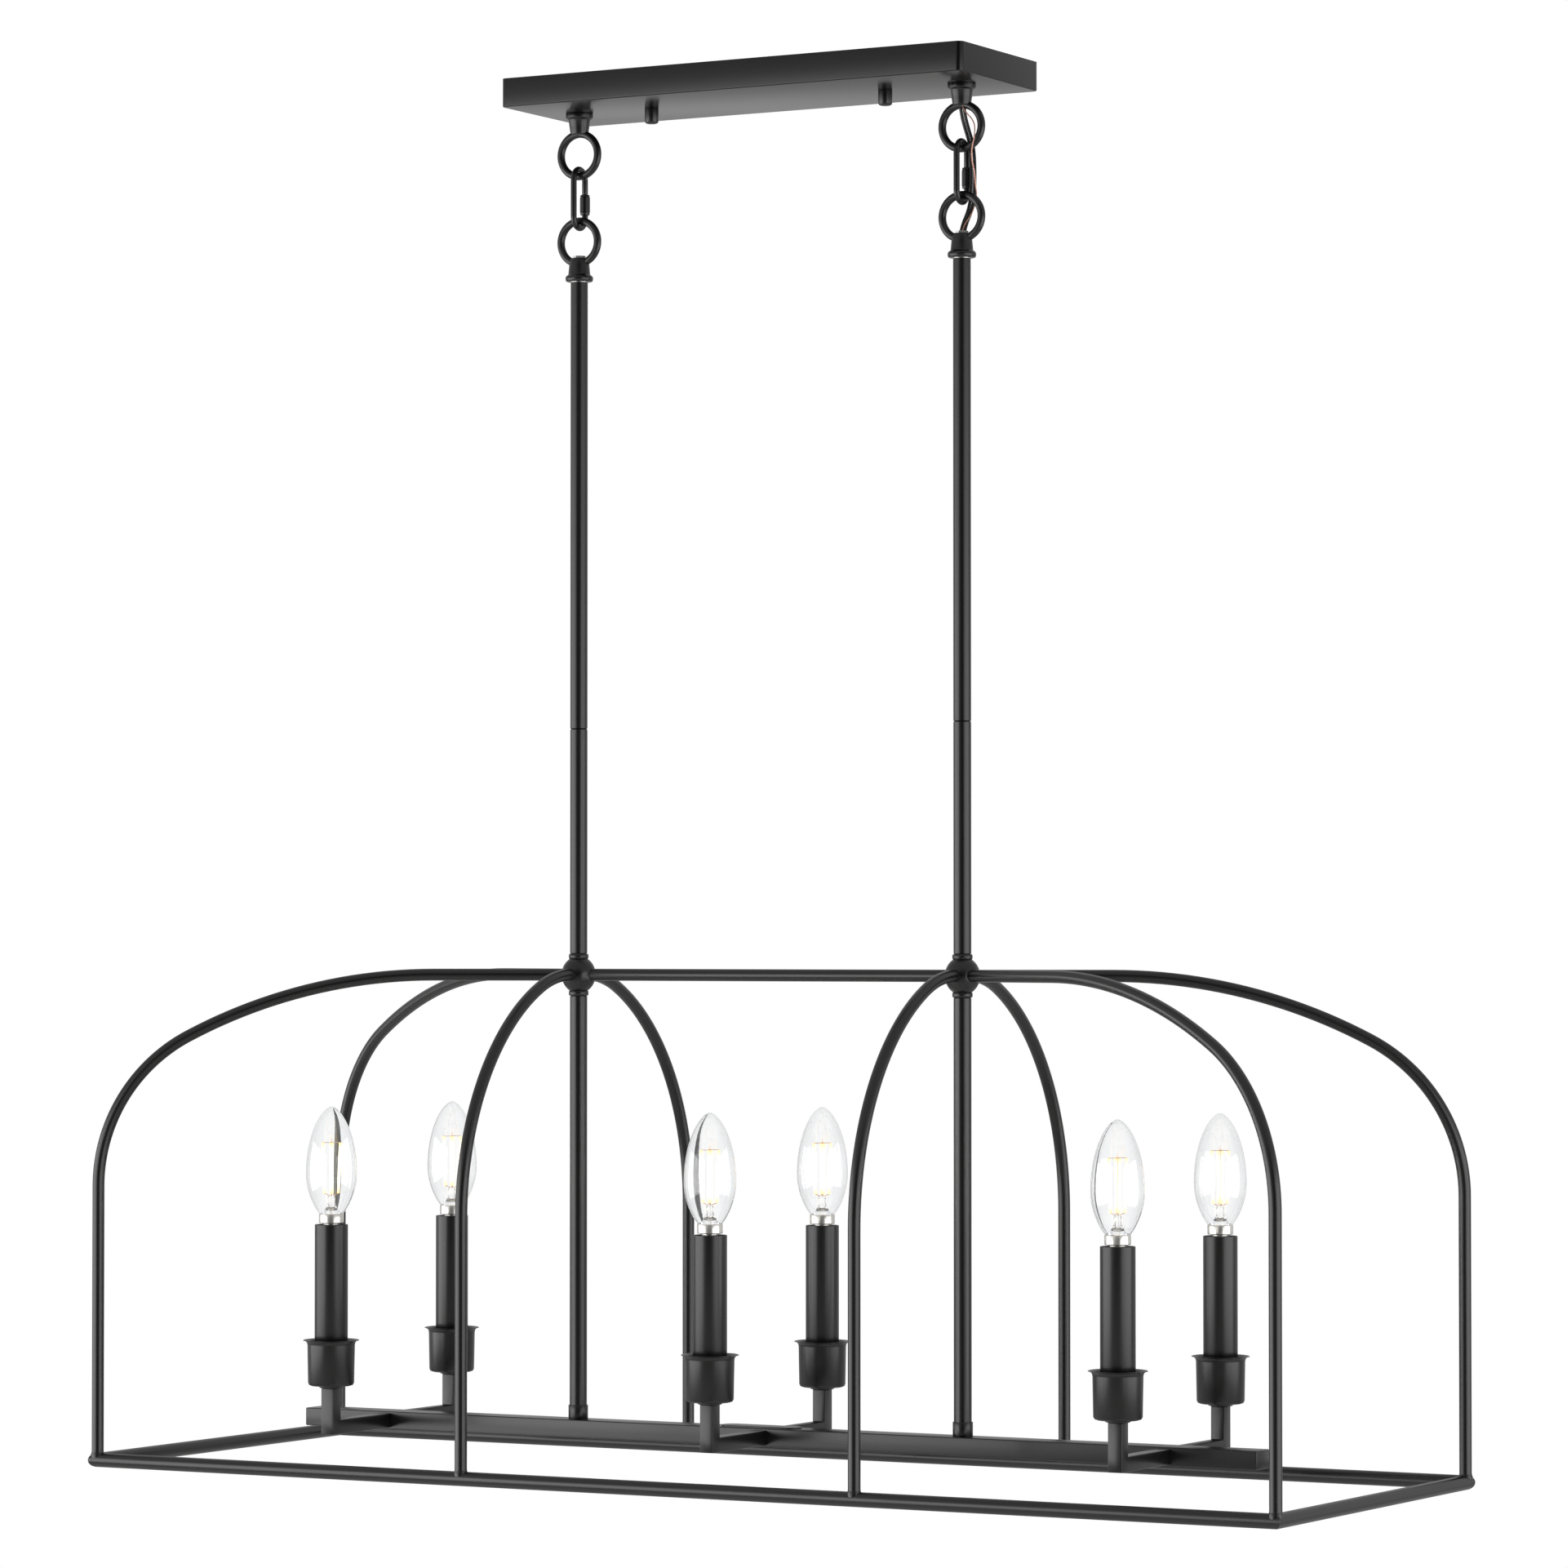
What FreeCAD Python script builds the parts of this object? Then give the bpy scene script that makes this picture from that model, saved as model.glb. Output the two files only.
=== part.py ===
import FreeCAD, Part
import Sketcher
import math
import os
import re

# A linear island pendant: a ceiling canopy carries two loops, a screw link hangs in each,
# and two stems hold a cage of bent rods with six candle lamps on a central bar.
# Millimetres, +Z up, origin on the ceiling at the middle of the canopy.
# X runs along the fixture and Y across it.

SIZES = {
    # ceiling canopy and what hangs it
    "canopy_length": 344,
    "canopy_width": 109.4,
    "canopy_height": 19,
    "canopy_wall": 1.2,
    "canopy_corner": 4,
    "canopy_edge": 1,
    "crossbar_length": 200,
    "crossbar_width": 22,
    "crossbar_thickness": 1.6,
    "box_screw_spacing": 88.9,
    "box_screw_hole": 4.6,
    "crossbar_centre_hole": 10.4,
    "stud_spacing": 176,
    "stud_diameter": 4.1,
    "stud_length": 27,
    "stud_clearance": 0.05,
    "stud_hole_play": 0.3,
    "cap_nut_diameter": 9.2,
    "cap_nut_height": 10.3,
    "ground_screw_place": 66,
    "ground_screw_diameter": 3.8,
    "ground_screw_head": 8,
    "ground_screw_head_height": 2.4,
    # cast loops
    "stem_spacing": 288,
    "loop_flange_diameter": 18.3,
    "loop_flange_height": 3.5,
    "loop_cone_top": 15,
    "loop_cone_bottom": 12,
    "loop_cone_height": 10.5,
    "loop_drop": 27.5,
    "ring_radius": 14.2,
    "ring_wire": 5.1,
    "nipple_diameter": 9,
    "nipple_bore": 6.6,
    "nipple_clearance": 0.1,
    "loop_nipple_length": 8,
    "lock_nut_width": 14,
    "lock_nut_height": 3.2,
    "boss_drop": 10.8,
    "boss_height": 15.7,
    "boss_top_diameter": 14.6,
    "boss_waist_diameter": 15.8,
    "boss_bead_diameter": 18.6,
    "boss_bead_height": 4.3,
    "nipple_proud": 1.5,
    # screw links
    "link_wire": 4,
    "link_bend_radius": 7.25,
    "link_straight": 24.8,
    "link_gap": 4,
    "chain_play": 0.15,
    "sleeve_nut_diameter": 7,
    "sleeve_nut_length": 13.5,
    "sleeve_nut_drop": 3.5,
    "sleeve_nut_clearance": 0.06,
    # stems
    "stem_diameter": 11.5,
    "stem_bore": 9.2,
    "upper_stem_length": 304.8,
    "middle_stem_length": 152.4,
    "lower_stem_length": 283.7,
    "stem_socket_depth": 6,
    "stem_socket_clearance": 0.05,
    "coupler_reach": 10,
    # hubs and cage
    "hub_diameter": 22.5,
    "hub_collar_diameter": 13.2,
    "hub_collar_height": 3.5,
    "hub_half_height": 7.7,
    "rod_diameter": 8,
    "rod_seat": 9.2,
    "rod_clearance": 0.05,
    "frame_length": 860,
    "frame_width": 291.4,
    "frame_drop": 323.3,
    "rail_diameter": 9.4,
    "corner_slope": 28,
    "corner_top_radius": 350,
    "corner_shoulder_radius": 113,
    "side_slope": 24,
    "side_top_radius": 94,
    "side_shoulder_radius": 163,
    # lamp bar
    "bar_length": 710,
    "bar_depth": 19,
    "bar_height": 12,
    "bar_wall": 1.2,
    "bar_collar_diameter": 13,
    "bar_collar_height": 9.3,
    "bar_collar_clearance": 0.05,
    "bar_slot_length": 44,
    "bar_slot_width": 9,
    "cover_length": 58,
    "cover_width": 15,
    "cover_thickness": 1,
    "cover_place": -4,
    "arm_square": 9.6,
    # candles
    "candle_spacing": 291,
    "candle_offset": 74.8,
    "cup_lift": 21.4,
    "cup_neck_height": 1.5,
    "cup_neck_diameter": 13.6,
    "cup_foot_diameter": 16.4,
    "cup_bottom_diameter": 26.4,
    "cup_shoulder_diameter": 30.7,
    "cup_shoulder_height": 2.2,
    "cup_diameter": 31.6,
    "cup_rim_diameter": 37.5,
    "cup_rim_height": 2.6,
    "cup_height": 30.3,
    "cup_wall": 0.9,
    "sleeve_diameter": 22.1,
    "sleeve_wall": 0.9,
    "sleeve_top": 107.2,
    "socket_diameter": 16.4,
    "socket_bore": 12.2,
    "socket_bore_depth": 22,
    "socket_recess": 2,
    # lamps
    "lamp_screw_diameter": 11.8,
    "lamp_screw_length": 18,
    "lamp_collar_diameter": 16.6,
    "lamp_collar_height": 7.2,
    "glass_diameter": 33.8,
    "glass_length": 71.2,
    "glass_belly": 27,
    "glass_wall": 0.8,
    # wires at the right suspension
    "wire_diameter": 2.2,
    "wire_pair_gap": 0.1,
    "ground_wire_diameter": 1,
    "wire_tuck": 4,
    # how finely round things are drawn, as sides of a polygon
    "stem_sides": 16,
    "turned_sides": 12,
    "cap_sides": 10,
    "rail_sides": 12,
    "rod_sides": 10,
    "wire_sides": 8,
    "nipple_sides": 8,
    "lead_sides": 6,
    "bend_step": 12,
    "ring_step": 22.5,
    "lead_step": 14,
}

doc = FreeCAD.newDocument("island_pendant")
sheet = doc.addObject("Spreadsheet::Sheet", "Sizes")
for row, (alias, value) in enumerate(SIZES.items(), start=1):
    sheet.set(f"A{row}", alias)
    sheet.set(f"B{row}", str(value))
    sheet.setAlias(f"B{row}", alias)
doc.recompute()


# ---------------------------------------------------------------- tools

def size(alias):
    """The number that the sheet holds under an alias."""
    return float(sheet.get(alias))


def written_out(formula):
    """A formula of bare aliases with the sheet's name before each."""
    def named(word):
        return f"Sizes.{word.group()}" if word.group() in SIZES else word.group()
    return re.sub(r"[a-z_]+", named, formula)


def bind(thing, path, formula):
    """Ties a property to a formula of sheet aliases."""
    thing.setExpression(path, written_out(formula))


def put(thing, x="0", y="0", z="0"):
    """Binds where a thing stands."""
    for axis, formula in (("x", x), ("y", y), ("z", z)):
        bind(thing, f"Placement.Base.{axis}", formula)
    return thing


def value_of(formula):
    """The number that a formula of aliases comes to, read from the sheet."""
    return float(sheet.evalExpression(written_out(formula)))


def name(thing, label):
    """Gives a finished sub-part its own label and returns it."""
    thing.Label = label
    finished.append(thing)
    return thing


finished = []


def prism(diameter, height, sides, x="0", y="0", z="0"):
    """An upright round bar, its section drawn with flats."""
    bar = doc.addObject("Part::Prism", "bar")
    bind(bar, "Polygon", sides)
    bind(bar, "Circumradius", f"({diameter}) / 2")
    bind(bar, "Height", height)
    return put(bar, x, y, z)


def skin(rings, closed=False):
    """A solid with flat faces between rings of points, capped unless the rings close on themselves."""
    pairs = list(zip(rings, rings[1:] + rings[:1])) if closed else list(zip(rings, rings[1:]))
    outlines = []
    for here, there in pairs:
        for i, point in enumerate(here):
            after = (i + 1) % len(here)
            outlines.append([point, here[after], there[after], there[i]])
    if not closed:
        outlines += [rings[0], rings[-1]]
    faces = [Part.Face(Part.makePolygon(corners + corners[:1])) for corners in outlines]
    solid = Part.Solid(Part.Shell(faces))
    if solid.Volume < 0:
        solid.reverse()
    return solid


def turned(stations, sides, x="0", y="0", z="0"):
    """A turned piece, drawn with flats: one ring of corners for each (diameter, height)."""
    rings = []
    count = int(size(sides))
    for diameter, height in stations:
        radius = value_of(diameter) / 2
        level = value_of(height)
        rings.append([FreeCAD.Vector(radius * math.cos(2 * math.pi * i / count),
                                     radius * math.sin(2 * math.pi * i / count), level)
                      for i in range(count)])
    return put(feature(skin(rings)), x, y, z)


def cut(base, tool, x="0", y="0", z="0"):
    """One solid with another taken out of it."""
    result = doc.addObject("Part::Cut", "cut")
    result.Base = base
    result.Tool = tool
    return put(result, x, y, z)


def together(things, kind="Part::Compound"):
    """Several solids as one object: a group, or with Part::MultiFuse one solid."""
    group = doc.addObject(kind, "group")
    if kind == "Part::Compound":
        group.Links = things
    else:
        group.Shapes = things
    return group


def body(label):
    """An empty PartDesign body."""
    made = doc.addObject("PartDesign::Body", label)
    made.Label = label
    return made


def sketch_on(owner, role, lift="0"):
    """A sketch on one of a body's own origin planes, lifted along its normal."""
    plane = next(f for f in owner.Origin.OriginFeatures if f.Role == role)
    made = owner.newObject("Sketcher::SketchObject", f"{owner.Name}_sketch")
    made.AttachmentSupport = [(plane, "")]
    made.MapMode = "FlatFace"
    bind(made, "AttachmentOffset.Base.z", lift)
    return made


def pin(sketch, element, point, across, up):
    """Holds one point of a sketch at two formulas from the sketch's origin."""
    for kind, formula in (("DistanceX", across), ("DistanceY", up)):
        number = value_of(formula)
        if abs(number) < 1e-9:
            axis = -2 if kind == "DistanceX" else -1
            sketch.addConstraint(Sketcher.Constraint("PointOnObject", element, point, axis))
        else:
            made = sketch.addConstraint(Sketcher.Constraint(kind, -1, 1, element, point, number))
            bind(sketch, f"Constraints[{made}]", formula)


def outline(sketch, corners):
    """A closed outline of straight lines through corners given as formulas."""
    places = [FreeCAD.Vector(value_of(a), value_of(b), 0) for a, b in corners]
    lines = [sketch.addGeometry(Part.LineSegment(here, there), False)
             for here, there in zip(places, places[1:] + places[:1])]
    for line, after in zip(lines, lines[1:] + lines[:1]):
        sketch.addConstraint(Sketcher.Constraint("Coincident", line, 2, after, 1))
    for line, (across, up) in zip(lines, corners):
        pin(sketch, line, 1, across, up)


def rectangle(sketch, width, height):
    """A rectangle about the sketch's origin."""
    outline(sketch, [
        (f"-({width}) / 2", f"-({height}) / 2"),
        (f"({width}) / 2", f"-({height}) / 2"),
        (f"({width}) / 2", f"({height}) / 2"),
        (f"-({width}) / 2", f"({height}) / 2"),
    ])


def hole(sketch, diameter, across="0", up="0"):
    """A circle, added to a sketch."""
    centre = FreeCAD.Vector(value_of(across), value_of(up), 0)
    circle = Part.Circle(centre, FreeCAD.Vector(0, 0, 1), value_of(diameter) / 2)
    index = sketch.addGeometry(circle, False)
    pin(sketch, index, 3, across, up)
    made = sketch.addConstraint(Sketcher.Constraint("Diameter", index, value_of(diameter)))
    bind(sketch, f"Constraints[{made}]", diameter)


def pad(owner, sketch, length, down=False, both=False):
    """Thickens a sketch into its body."""
    made = owner.newObject("PartDesign::Pad", f"{owner.Name}_pad")
    made.Profile = sketch
    bind(made, "Length", length)
    made.Reversed = down
    made.Midplane = both
    sketch.Visibility = False
    return made


def pocket(owner, sketch, length, up=False):
    """Cuts a sketch out of its body."""
    made = owner.newObject("PartDesign::Pocket", f"{owner.Name}_pocket")
    made.Profile = sketch
    bind(made, "Length", length)
    made.Reversed = up
    sketch.Visibility = False
    return made


# the share of a bend's full radius that is used, so that it just fails to meet the next bend
SNUG = 0.9999


def stations_along(corners, bends, step):
    """Places and directions along straight runs that tangent arcs join.

    Each inner corner has a bend radius. An arc gets one station for every step degrees.
    """
    places = [(corners[0], (corners[1] - corners[0]).normalize(), None, 0)]
    for before, corner, after, radius in zip(corners, corners[1:], corners[2:], bends):
        inward = (corner - before).normalize()
        outward = (after - corner).normalize()
        turn = inward.getAngle(outward)
        axis = inward.cross(outward).normalize()
        start = corner - inward * (radius * math.tan(turn / 2))
        centre = start + axis.cross(inward) * radius
        parts = max(1, math.ceil(math.degrees(turn) / step))
        for i in range(parts + 1):
            spin = FreeCAD.Rotation(axis, math.degrees(turn) * i / parts)
            share = math.degrees(turn) / parts if i else 0
            place = centre + spin.multVec(start - centre)
            places.append((place, spin.multVec(inward), axis, share))
    places.append((corners[-1], (corners[-1] - corners[-2]).normalize(), None, 0))
    return places


def bent_rod(corners, bends, diameter, sides, step):
    """A rod bent along straight runs and tangent arcs, its section drawn with flats.

    The flats keep the bent pieces light: they are many and their bends are long.
    """
    places = stations_along(corners, bends, step)
    first = places[0][1]
    helper = FreeCAD.Vector(0, 0, 1) if abs(first.z) < 0.9 else FreeCAD.Vector(0, 1, 0)
    side = first.cross(helper).normalize()
    rings = []
    last = None
    for place, direction, axis, turn in places:
        if axis is not None and turn:
            side = FreeCAD.Rotation(axis, turn).multVec(side)
        if last is not None and (place - last).Length < 1e-4:
            continue
        other = direction.cross(side)
        ring = []
        for i in range(int(sides)):
            angle = 2 * math.pi * i / sides
            ring.append(place + (side * math.cos(angle) + other * math.sin(angle)) * (diameter / 2))
        rings.append(ring)
        last = place
    return skin(rings)


def flat_ring(radius, wire, sides, step):
    """A ring of wire standing in the XZ plane about the origin, drawn with flats."""
    ring = []
    for i in range(int(sides)):
        angle = 2 * math.pi * i / sides
        ring.append(FreeCAD.Vector(radius + wire / 2 * math.cos(angle), wire / 2 * math.sin(angle), 0))
    parts = int(round(360 / step))
    rings = []
    for i in range(parts):
        spin = FreeCAD.Rotation(FreeCAD.Vector(0, 1, 0), 360 * i / parts)
        rings.append([spin.multVec(point) for point in ring])
    return skin(rings, closed=True)


def feature(shape, x=0, y=0, z=0, turn=0):
    """A document object that holds a shape made by code, placed after its shape is set."""
    made = doc.addObject("Part::Feature", "shape")
    made.Shape = shape
    made.Placement = FreeCAD.Placement(
        FreeCAD.Vector(x, y, z), FreeCAD.Rotation(FreeCAD.Vector(0, 0, 1), turn))
    return made


# ---------------------------------------------------------------- heights shared by the pieces

RING_CENTRE = "(-canopy_height - loop_drop)"
CHAIN_STEP = "(ring_wire / 2 + link_wire / 2 + chain_play)"
LINK_HALF = "(link_straight / 2 + link_bend_radius)"
SWING_CENTRE = f"({RING_CENTRE} - ring_radius)"
LINK_CENTRE = f"({SWING_CENTRE} + {CHAIN_STEP} - {LINK_HALF})"
HANG_CENTRE = f"({LINK_CENTRE} - {LINK_HALF} + {CHAIN_STEP})"
LOWER_RING_CENTRE = f"({HANG_CENTRE} - ring_radius)"
BOSS_TOP = f"({LOWER_RING_CENTRE} - boss_drop)"
BOSS_BOTTOM = f"({BOSS_TOP} - boss_height)"
STEM_TOP = f"({BOSS_BOTTOM} + stem_socket_depth)"
STEM_JOINT = f"({STEM_TOP} - upper_stem_length)"
HUB_TOP = f"({STEM_JOINT} - middle_stem_length)"
HUB_CENTRE = f"({HUB_TOP} - hub_collar_height - hub_half_height)"
HUB_BOTTOM = f"({HUB_CENTRE} - hub_half_height - hub_collar_height)"
BAR_TOP = f"({HUB_BOTTOM} - lower_stem_length)"
BAR_CENTRE = f"({BAR_TOP} - bar_height / 2)"
CUP_FLOOR = f"({BAR_TOP} + cup_lift)"
RAIL_CENTRE = f"({HUB_CENTRE} - frame_drop)"
SLEEVE_TOP = f"({CUP_FLOOR} + sleeve_top)"
SIDES = (("left", "-"), ("right", ""))


# ---------------------------------------------------------------- ceiling canopy

def make_canopy():
    """A pressed steel pan, open to the ceiling, with holes for the studs and the loops."""
    canopy = body("canopy_pan")
    outer = sketch_on(canopy, "XY_Plane")
    rectangle(outer, "canopy_length", "canopy_width")
    pan = pad(canopy, outer, "canopy_height", down=True)
    doc.recompute()
    upright = [f"Edge{i}" for i, e in enumerate(pan.Shape.Edges, 1)
               if abs(e.tangentAt(e.FirstParameter).z) > 0.9]
    corners = canopy.newObject("PartDesign::Fillet", "canopy_corners")
    corners.Base = (pan, upright)
    bind(corners, "Radius", "canopy_corner")
    doc.recompute()
    floor = min(range(len(corners.Shape.Faces)), key=lambda i: corners.Shape.Faces[i].CenterOfMass.z)
    edge = canopy.newObject("PartDesign::Chamfer", "canopy_lower_edge")
    edge.Base = (corners, [f"Face{floor + 1}"])
    bind(edge, "Size", "canopy_edge")
    inner = sketch_on(canopy, "XY_Plane")
    rectangle(inner, "canopy_length - 2 * canopy_wall", "canopy_width - 2 * canopy_wall")
    pocket(canopy, inner, "canopy_height - canopy_wall")
    holes = []
    for sign in ("-", ""):
        holes.append(prism("nipple_diameter + 2 * nipple_clearance", "2 * canopy_height", "nipple_sides",
                           f"{sign}stem_spacing / 2", z="-2 * canopy_height"))
        holes.append(prism("stud_diameter + 2 * stud_hole_play", "2 * canopy_height", "nipple_sides",
                           f"{sign}stud_spacing / 2", z="-2 * canopy_height"))
    return name(cut(canopy, together(holes)), "canopy")


def make_crossbar():
    """The steel strap that screws to the ceiling box and holds the two studs."""
    bar = body("crossbar_strap")
    strap = sketch_on(bar, "XY_Plane")
    rectangle(strap, "crossbar_length", "crossbar_width")
    pad(bar, strap, "crossbar_thickness", down=True)
    screw_holes = sketch_on(bar, "XY_Plane")
    for sign in ("-", ""):
        hole(screw_holes, "box_screw_hole", f"{sign}box_screw_spacing / 2")
    pocket(bar, screw_holes, "2 * crossbar_thickness")
    low = "-2 * crossbar_thickness"
    holes = [
        prism("crossbar_centre_hole", "4 * crossbar_thickness", "nipple_sides", z=low),
        prism("ground_screw_diameter + 2 * stud_clearance", "4 * crossbar_thickness", "nipple_sides",
              "ground_screw_place", z=low),
    ]
    for sign in ("-", ""):
        holes.append(prism("stud_diameter + 2 * stud_clearance", "4 * crossbar_thickness", "nipple_sides",
                           f"{sign}stud_spacing / 2", z=low))
    return name(cut(bar, together(holes)), "mounting_crossbar")


def make_studs():
    """Two threaded studs that stand in the crossbar and pass through the canopy."""
    studs = [prism("stud_diameter", "stud_length", "nipple_sides", f"{sign}stud_spacing / 2", z="-stud_length")
             for sign in ("-", "")]
    return name(together(studs), "crossbar_studs")


def make_cap_nuts():
    """Two blind cap nuts that hold the canopy up against the ceiling."""
    nuts = []
    for sign in ("-", ""):
        x = f"{sign}stud_spacing / 2"
        shell = turned([
            ("cap_nut_diameter * 0.35", "-canopy_height - cap_nut_height"),
            ("cap_nut_diameter * 0.8", "-canopy_height - cap_nut_height * 0.93"),
            ("cap_nut_diameter", "-canopy_height - cap_nut_height * 0.8"),
            ("cap_nut_diameter", "-canopy_height"),
        ], "turned_sides", x)
        thread = prism("stud_diameter + 2 * stud_clearance", "2 * (stud_length - canopy_height) + stud_clearance",
                       "nipple_sides", x, z="-stud_length - stud_clearance")
        nuts.append(cut(shell, thread))
    return name(together(nuts), "cap_nuts")


def make_ground_screw():
    """The earth screw of the crossbar."""
    screw = turned([
        ("ground_screw_head", "-crossbar_thickness - ground_screw_head_height"),
        ("ground_screw_head", "-crossbar_thickness"),
    ], "turned_sides", "ground_screw_place")
    shank = prism("ground_screw_diameter", "crossbar_thickness", "nipple_sides", "ground_screw_place",
                  z="-crossbar_thickness")
    return name(together([screw, shank], "Part::MultiFuse"), "ground_screw")


# ---------------------------------------------------------------- loops and links

def loop_ring(sign, centre):
    """The ring of a cast loop, standing along the fixture."""
    shape = flat_ring(size("ring_radius"), size("ring_wire"), size("wire_sides"), size("ring_step"))
    return feature(shape, x=float(sign + "1") * size("stem_spacing") / 2, z=value_of(centre))


def make_canopy_loop(side, sign):
    """A cast loop under the canopy: flange, cone and ring, with a nipple up through the pan."""
    x = f"{sign}stem_spacing / 2"
    cone_top = "(-canopy_height - loop_flange_height)"
    boss = turned([
        ("loop_cone_bottom", f"{cone_top} - loop_cone_height"),
        ("loop_cone_top", cone_top),
    ], "turned_sides", x)
    flange = prism("loop_flange_diameter", "loop_flange_height", "turned_sides", x, z=cone_top)
    nipple = prism("nipple_diameter", "loop_nipple_length", "nipple_sides", x, z="-canopy_height")
    ring = loop_ring(sign, RING_CENTRE)
    whole = together([boss, flange, nipple, ring], "Part::MultiFuse")
    bore = prism("nipple_bore", "loop_cone_height + loop_flange_height + loop_nipple_length + ring_wire",
                 "nipple_sides", x, z=f"{cone_top} - loop_cone_height - ring_wire")
    return name(cut(whole, bore), f"canopy_loop_{side}")


def make_lock_nuts():
    """The hexagon nuts inside the canopy that hold the loops."""
    nuts = []
    for sign in ("-", ""):
        x = f"{sign}stem_spacing / 2"
        z = "-canopy_height + canopy_wall"
        outside = prism("lock_nut_width / cos(30)", "lock_nut_height", "6", x, z=z)
        inside = prism("nipple_diameter + nipple_clearance", "lock_nut_height", "nipple_sides", x, z=z)
        nuts.append(cut(outside, inside))
    return name(together(nuts), "loop_lock_nuts")


def make_quick_link(side, sign):
    """An oval screw link, open at the gap that its sleeve nut closes."""
    reach = size("link_straight") / 2 + size("link_bend_radius")
    bend = size("link_bend_radius")
    middle = -size("sleeve_nut_drop")
    half_gap = size("link_gap") / 2
    corners = [
        FreeCAD.Vector(0, bend, middle + half_gap),
        FreeCAD.Vector(0, bend, reach),
        FreeCAD.Vector(0, -bend, reach),
        FreeCAD.Vector(0, -bend, -reach),
        FreeCAD.Vector(0, bend, -reach),
        FreeCAD.Vector(0, bend, middle - half_gap),
    ]
    shape = bent_rod(corners, [bend * SNUG] * 4, size("link_wire"), size("wire_sides"), size("ring_step"))
    link = feature(shape, x=float(sign + "1") * size("stem_spacing") / 2, z=value_of(LINK_CENTRE))
    return name(link, f"quick_link_{side}")


def make_sleeve_nut(side, sign):
    """The knurled sleeve that screws over the gap of a link."""
    x = f"{sign}stem_spacing / 2"
    low = f"{LINK_CENTRE} - sleeve_nut_drop - sleeve_nut_length / 2"
    outside = prism("sleeve_nut_diameter", "sleeve_nut_length", "turned_sides", x, "link_bend_radius", low)
    inside = prism("link_wire + 2 * sleeve_nut_clearance", "sleeve_nut_length", "wire_sides",
                   x, "link_bend_radius", low)
    return name(cut(outside, inside), f"link_sleeve_nut_{side}")


def make_stem_loop(side, sign):
    """The cast loop on top of a stem: ring, tapered boss and a bead round its foot."""
    x = f"{sign}stem_spacing / 2"
    bead_top = f"({BOSS_BOTTOM} + boss_bead_height)"
    boss = turned([
        ("boss_waist_diameter", BOSS_BOTTOM),
        ("boss_bead_diameter", f"{BOSS_BOTTOM} + boss_bead_height * 0.3"),
        ("boss_bead_diameter", f"{BOSS_BOTTOM} + boss_bead_height * 0.7"),
        ("boss_waist_diameter", bead_top),
        ("boss_top_diameter", BOSS_TOP),
    ], "turned_sides", x)
    ring = loop_ring(sign, LOWER_RING_CENTRE)
    whole = together([boss, ring], "Part::MultiFuse")
    bore = prism("nipple_diameter + 2 * nipple_clearance", "boss_height + ring_wire", "nipple_sides",
                 x, z=f"{BOSS_BOTTOM}")
    socket = prism("stem_diameter + 2 * stem_socket_clearance", "stem_socket_depth", "stem_sides",
                   x, z=BOSS_BOTTOM)
    return name(cut(cut(whole, bore), socket), f"stem_loop_{side}")


# ---------------------------------------------------------------- stems and hubs

def tube(label, side, sign, outer, inner, bottom, height):
    """A length of stem tube."""
    x = f"{sign}stem_spacing / 2"
    outside = prism(outer, height, "stem_sides", x, z=bottom)
    inside = prism(inner, height, "stem_sides", x, z=bottom)
    return name(cut(outside, inside), f"{label}_{side}")


def make_couplers():
    """Threaded nipples inside the stem joints, with the wires' bore through them."""
    spans = (
        (f"{BOSS_TOP} + nipple_proud", f"{STEM_TOP} - coupler_reach"),
        (f"{STEM_JOINT} + coupler_reach", f"{STEM_JOINT} - coupler_reach"),
        (f"{HUB_TOP} + coupler_reach", f"{HUB_BOTTOM} - coupler_reach"),
        (f"{BAR_TOP} + coupler_reach", f"{BAR_TOP} - bar_height / 2"),
    )
    nipples = []
    for sign in ("-", ""):
        x = f"{sign}stem_spacing / 2"
        for top, bottom in spans:
            length = f"({top}) - ({bottom})"
            outside = prism("nipple_diameter", length, "nipple_sides", x, z=bottom)
            inside = prism("nipple_bore", length, "nipple_sides", x, z=bottom)
            nipples.append(cut(outside, inside))
    return name(together(nipples), "stem_couplers")


def make_collars():
    """The four rings that close the hubs against the stems."""
    collars = []
    for sign in ("-", ""):
        x = f"{sign}stem_spacing / 2"
        for low in (f"{HUB_CENTRE} + hub_half_height", HUB_BOTTOM):
            outside = prism("hub_collar_diameter", "hub_collar_height", "turned_sides", x, z=low)
            inside = prism("nipple_diameter + 2 * nipple_clearance", "hub_collar_height", "nipple_sides", x, z=low)
            collars.append(cut(outside, inside))
    return name(together(collars), "hub_collars")


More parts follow.
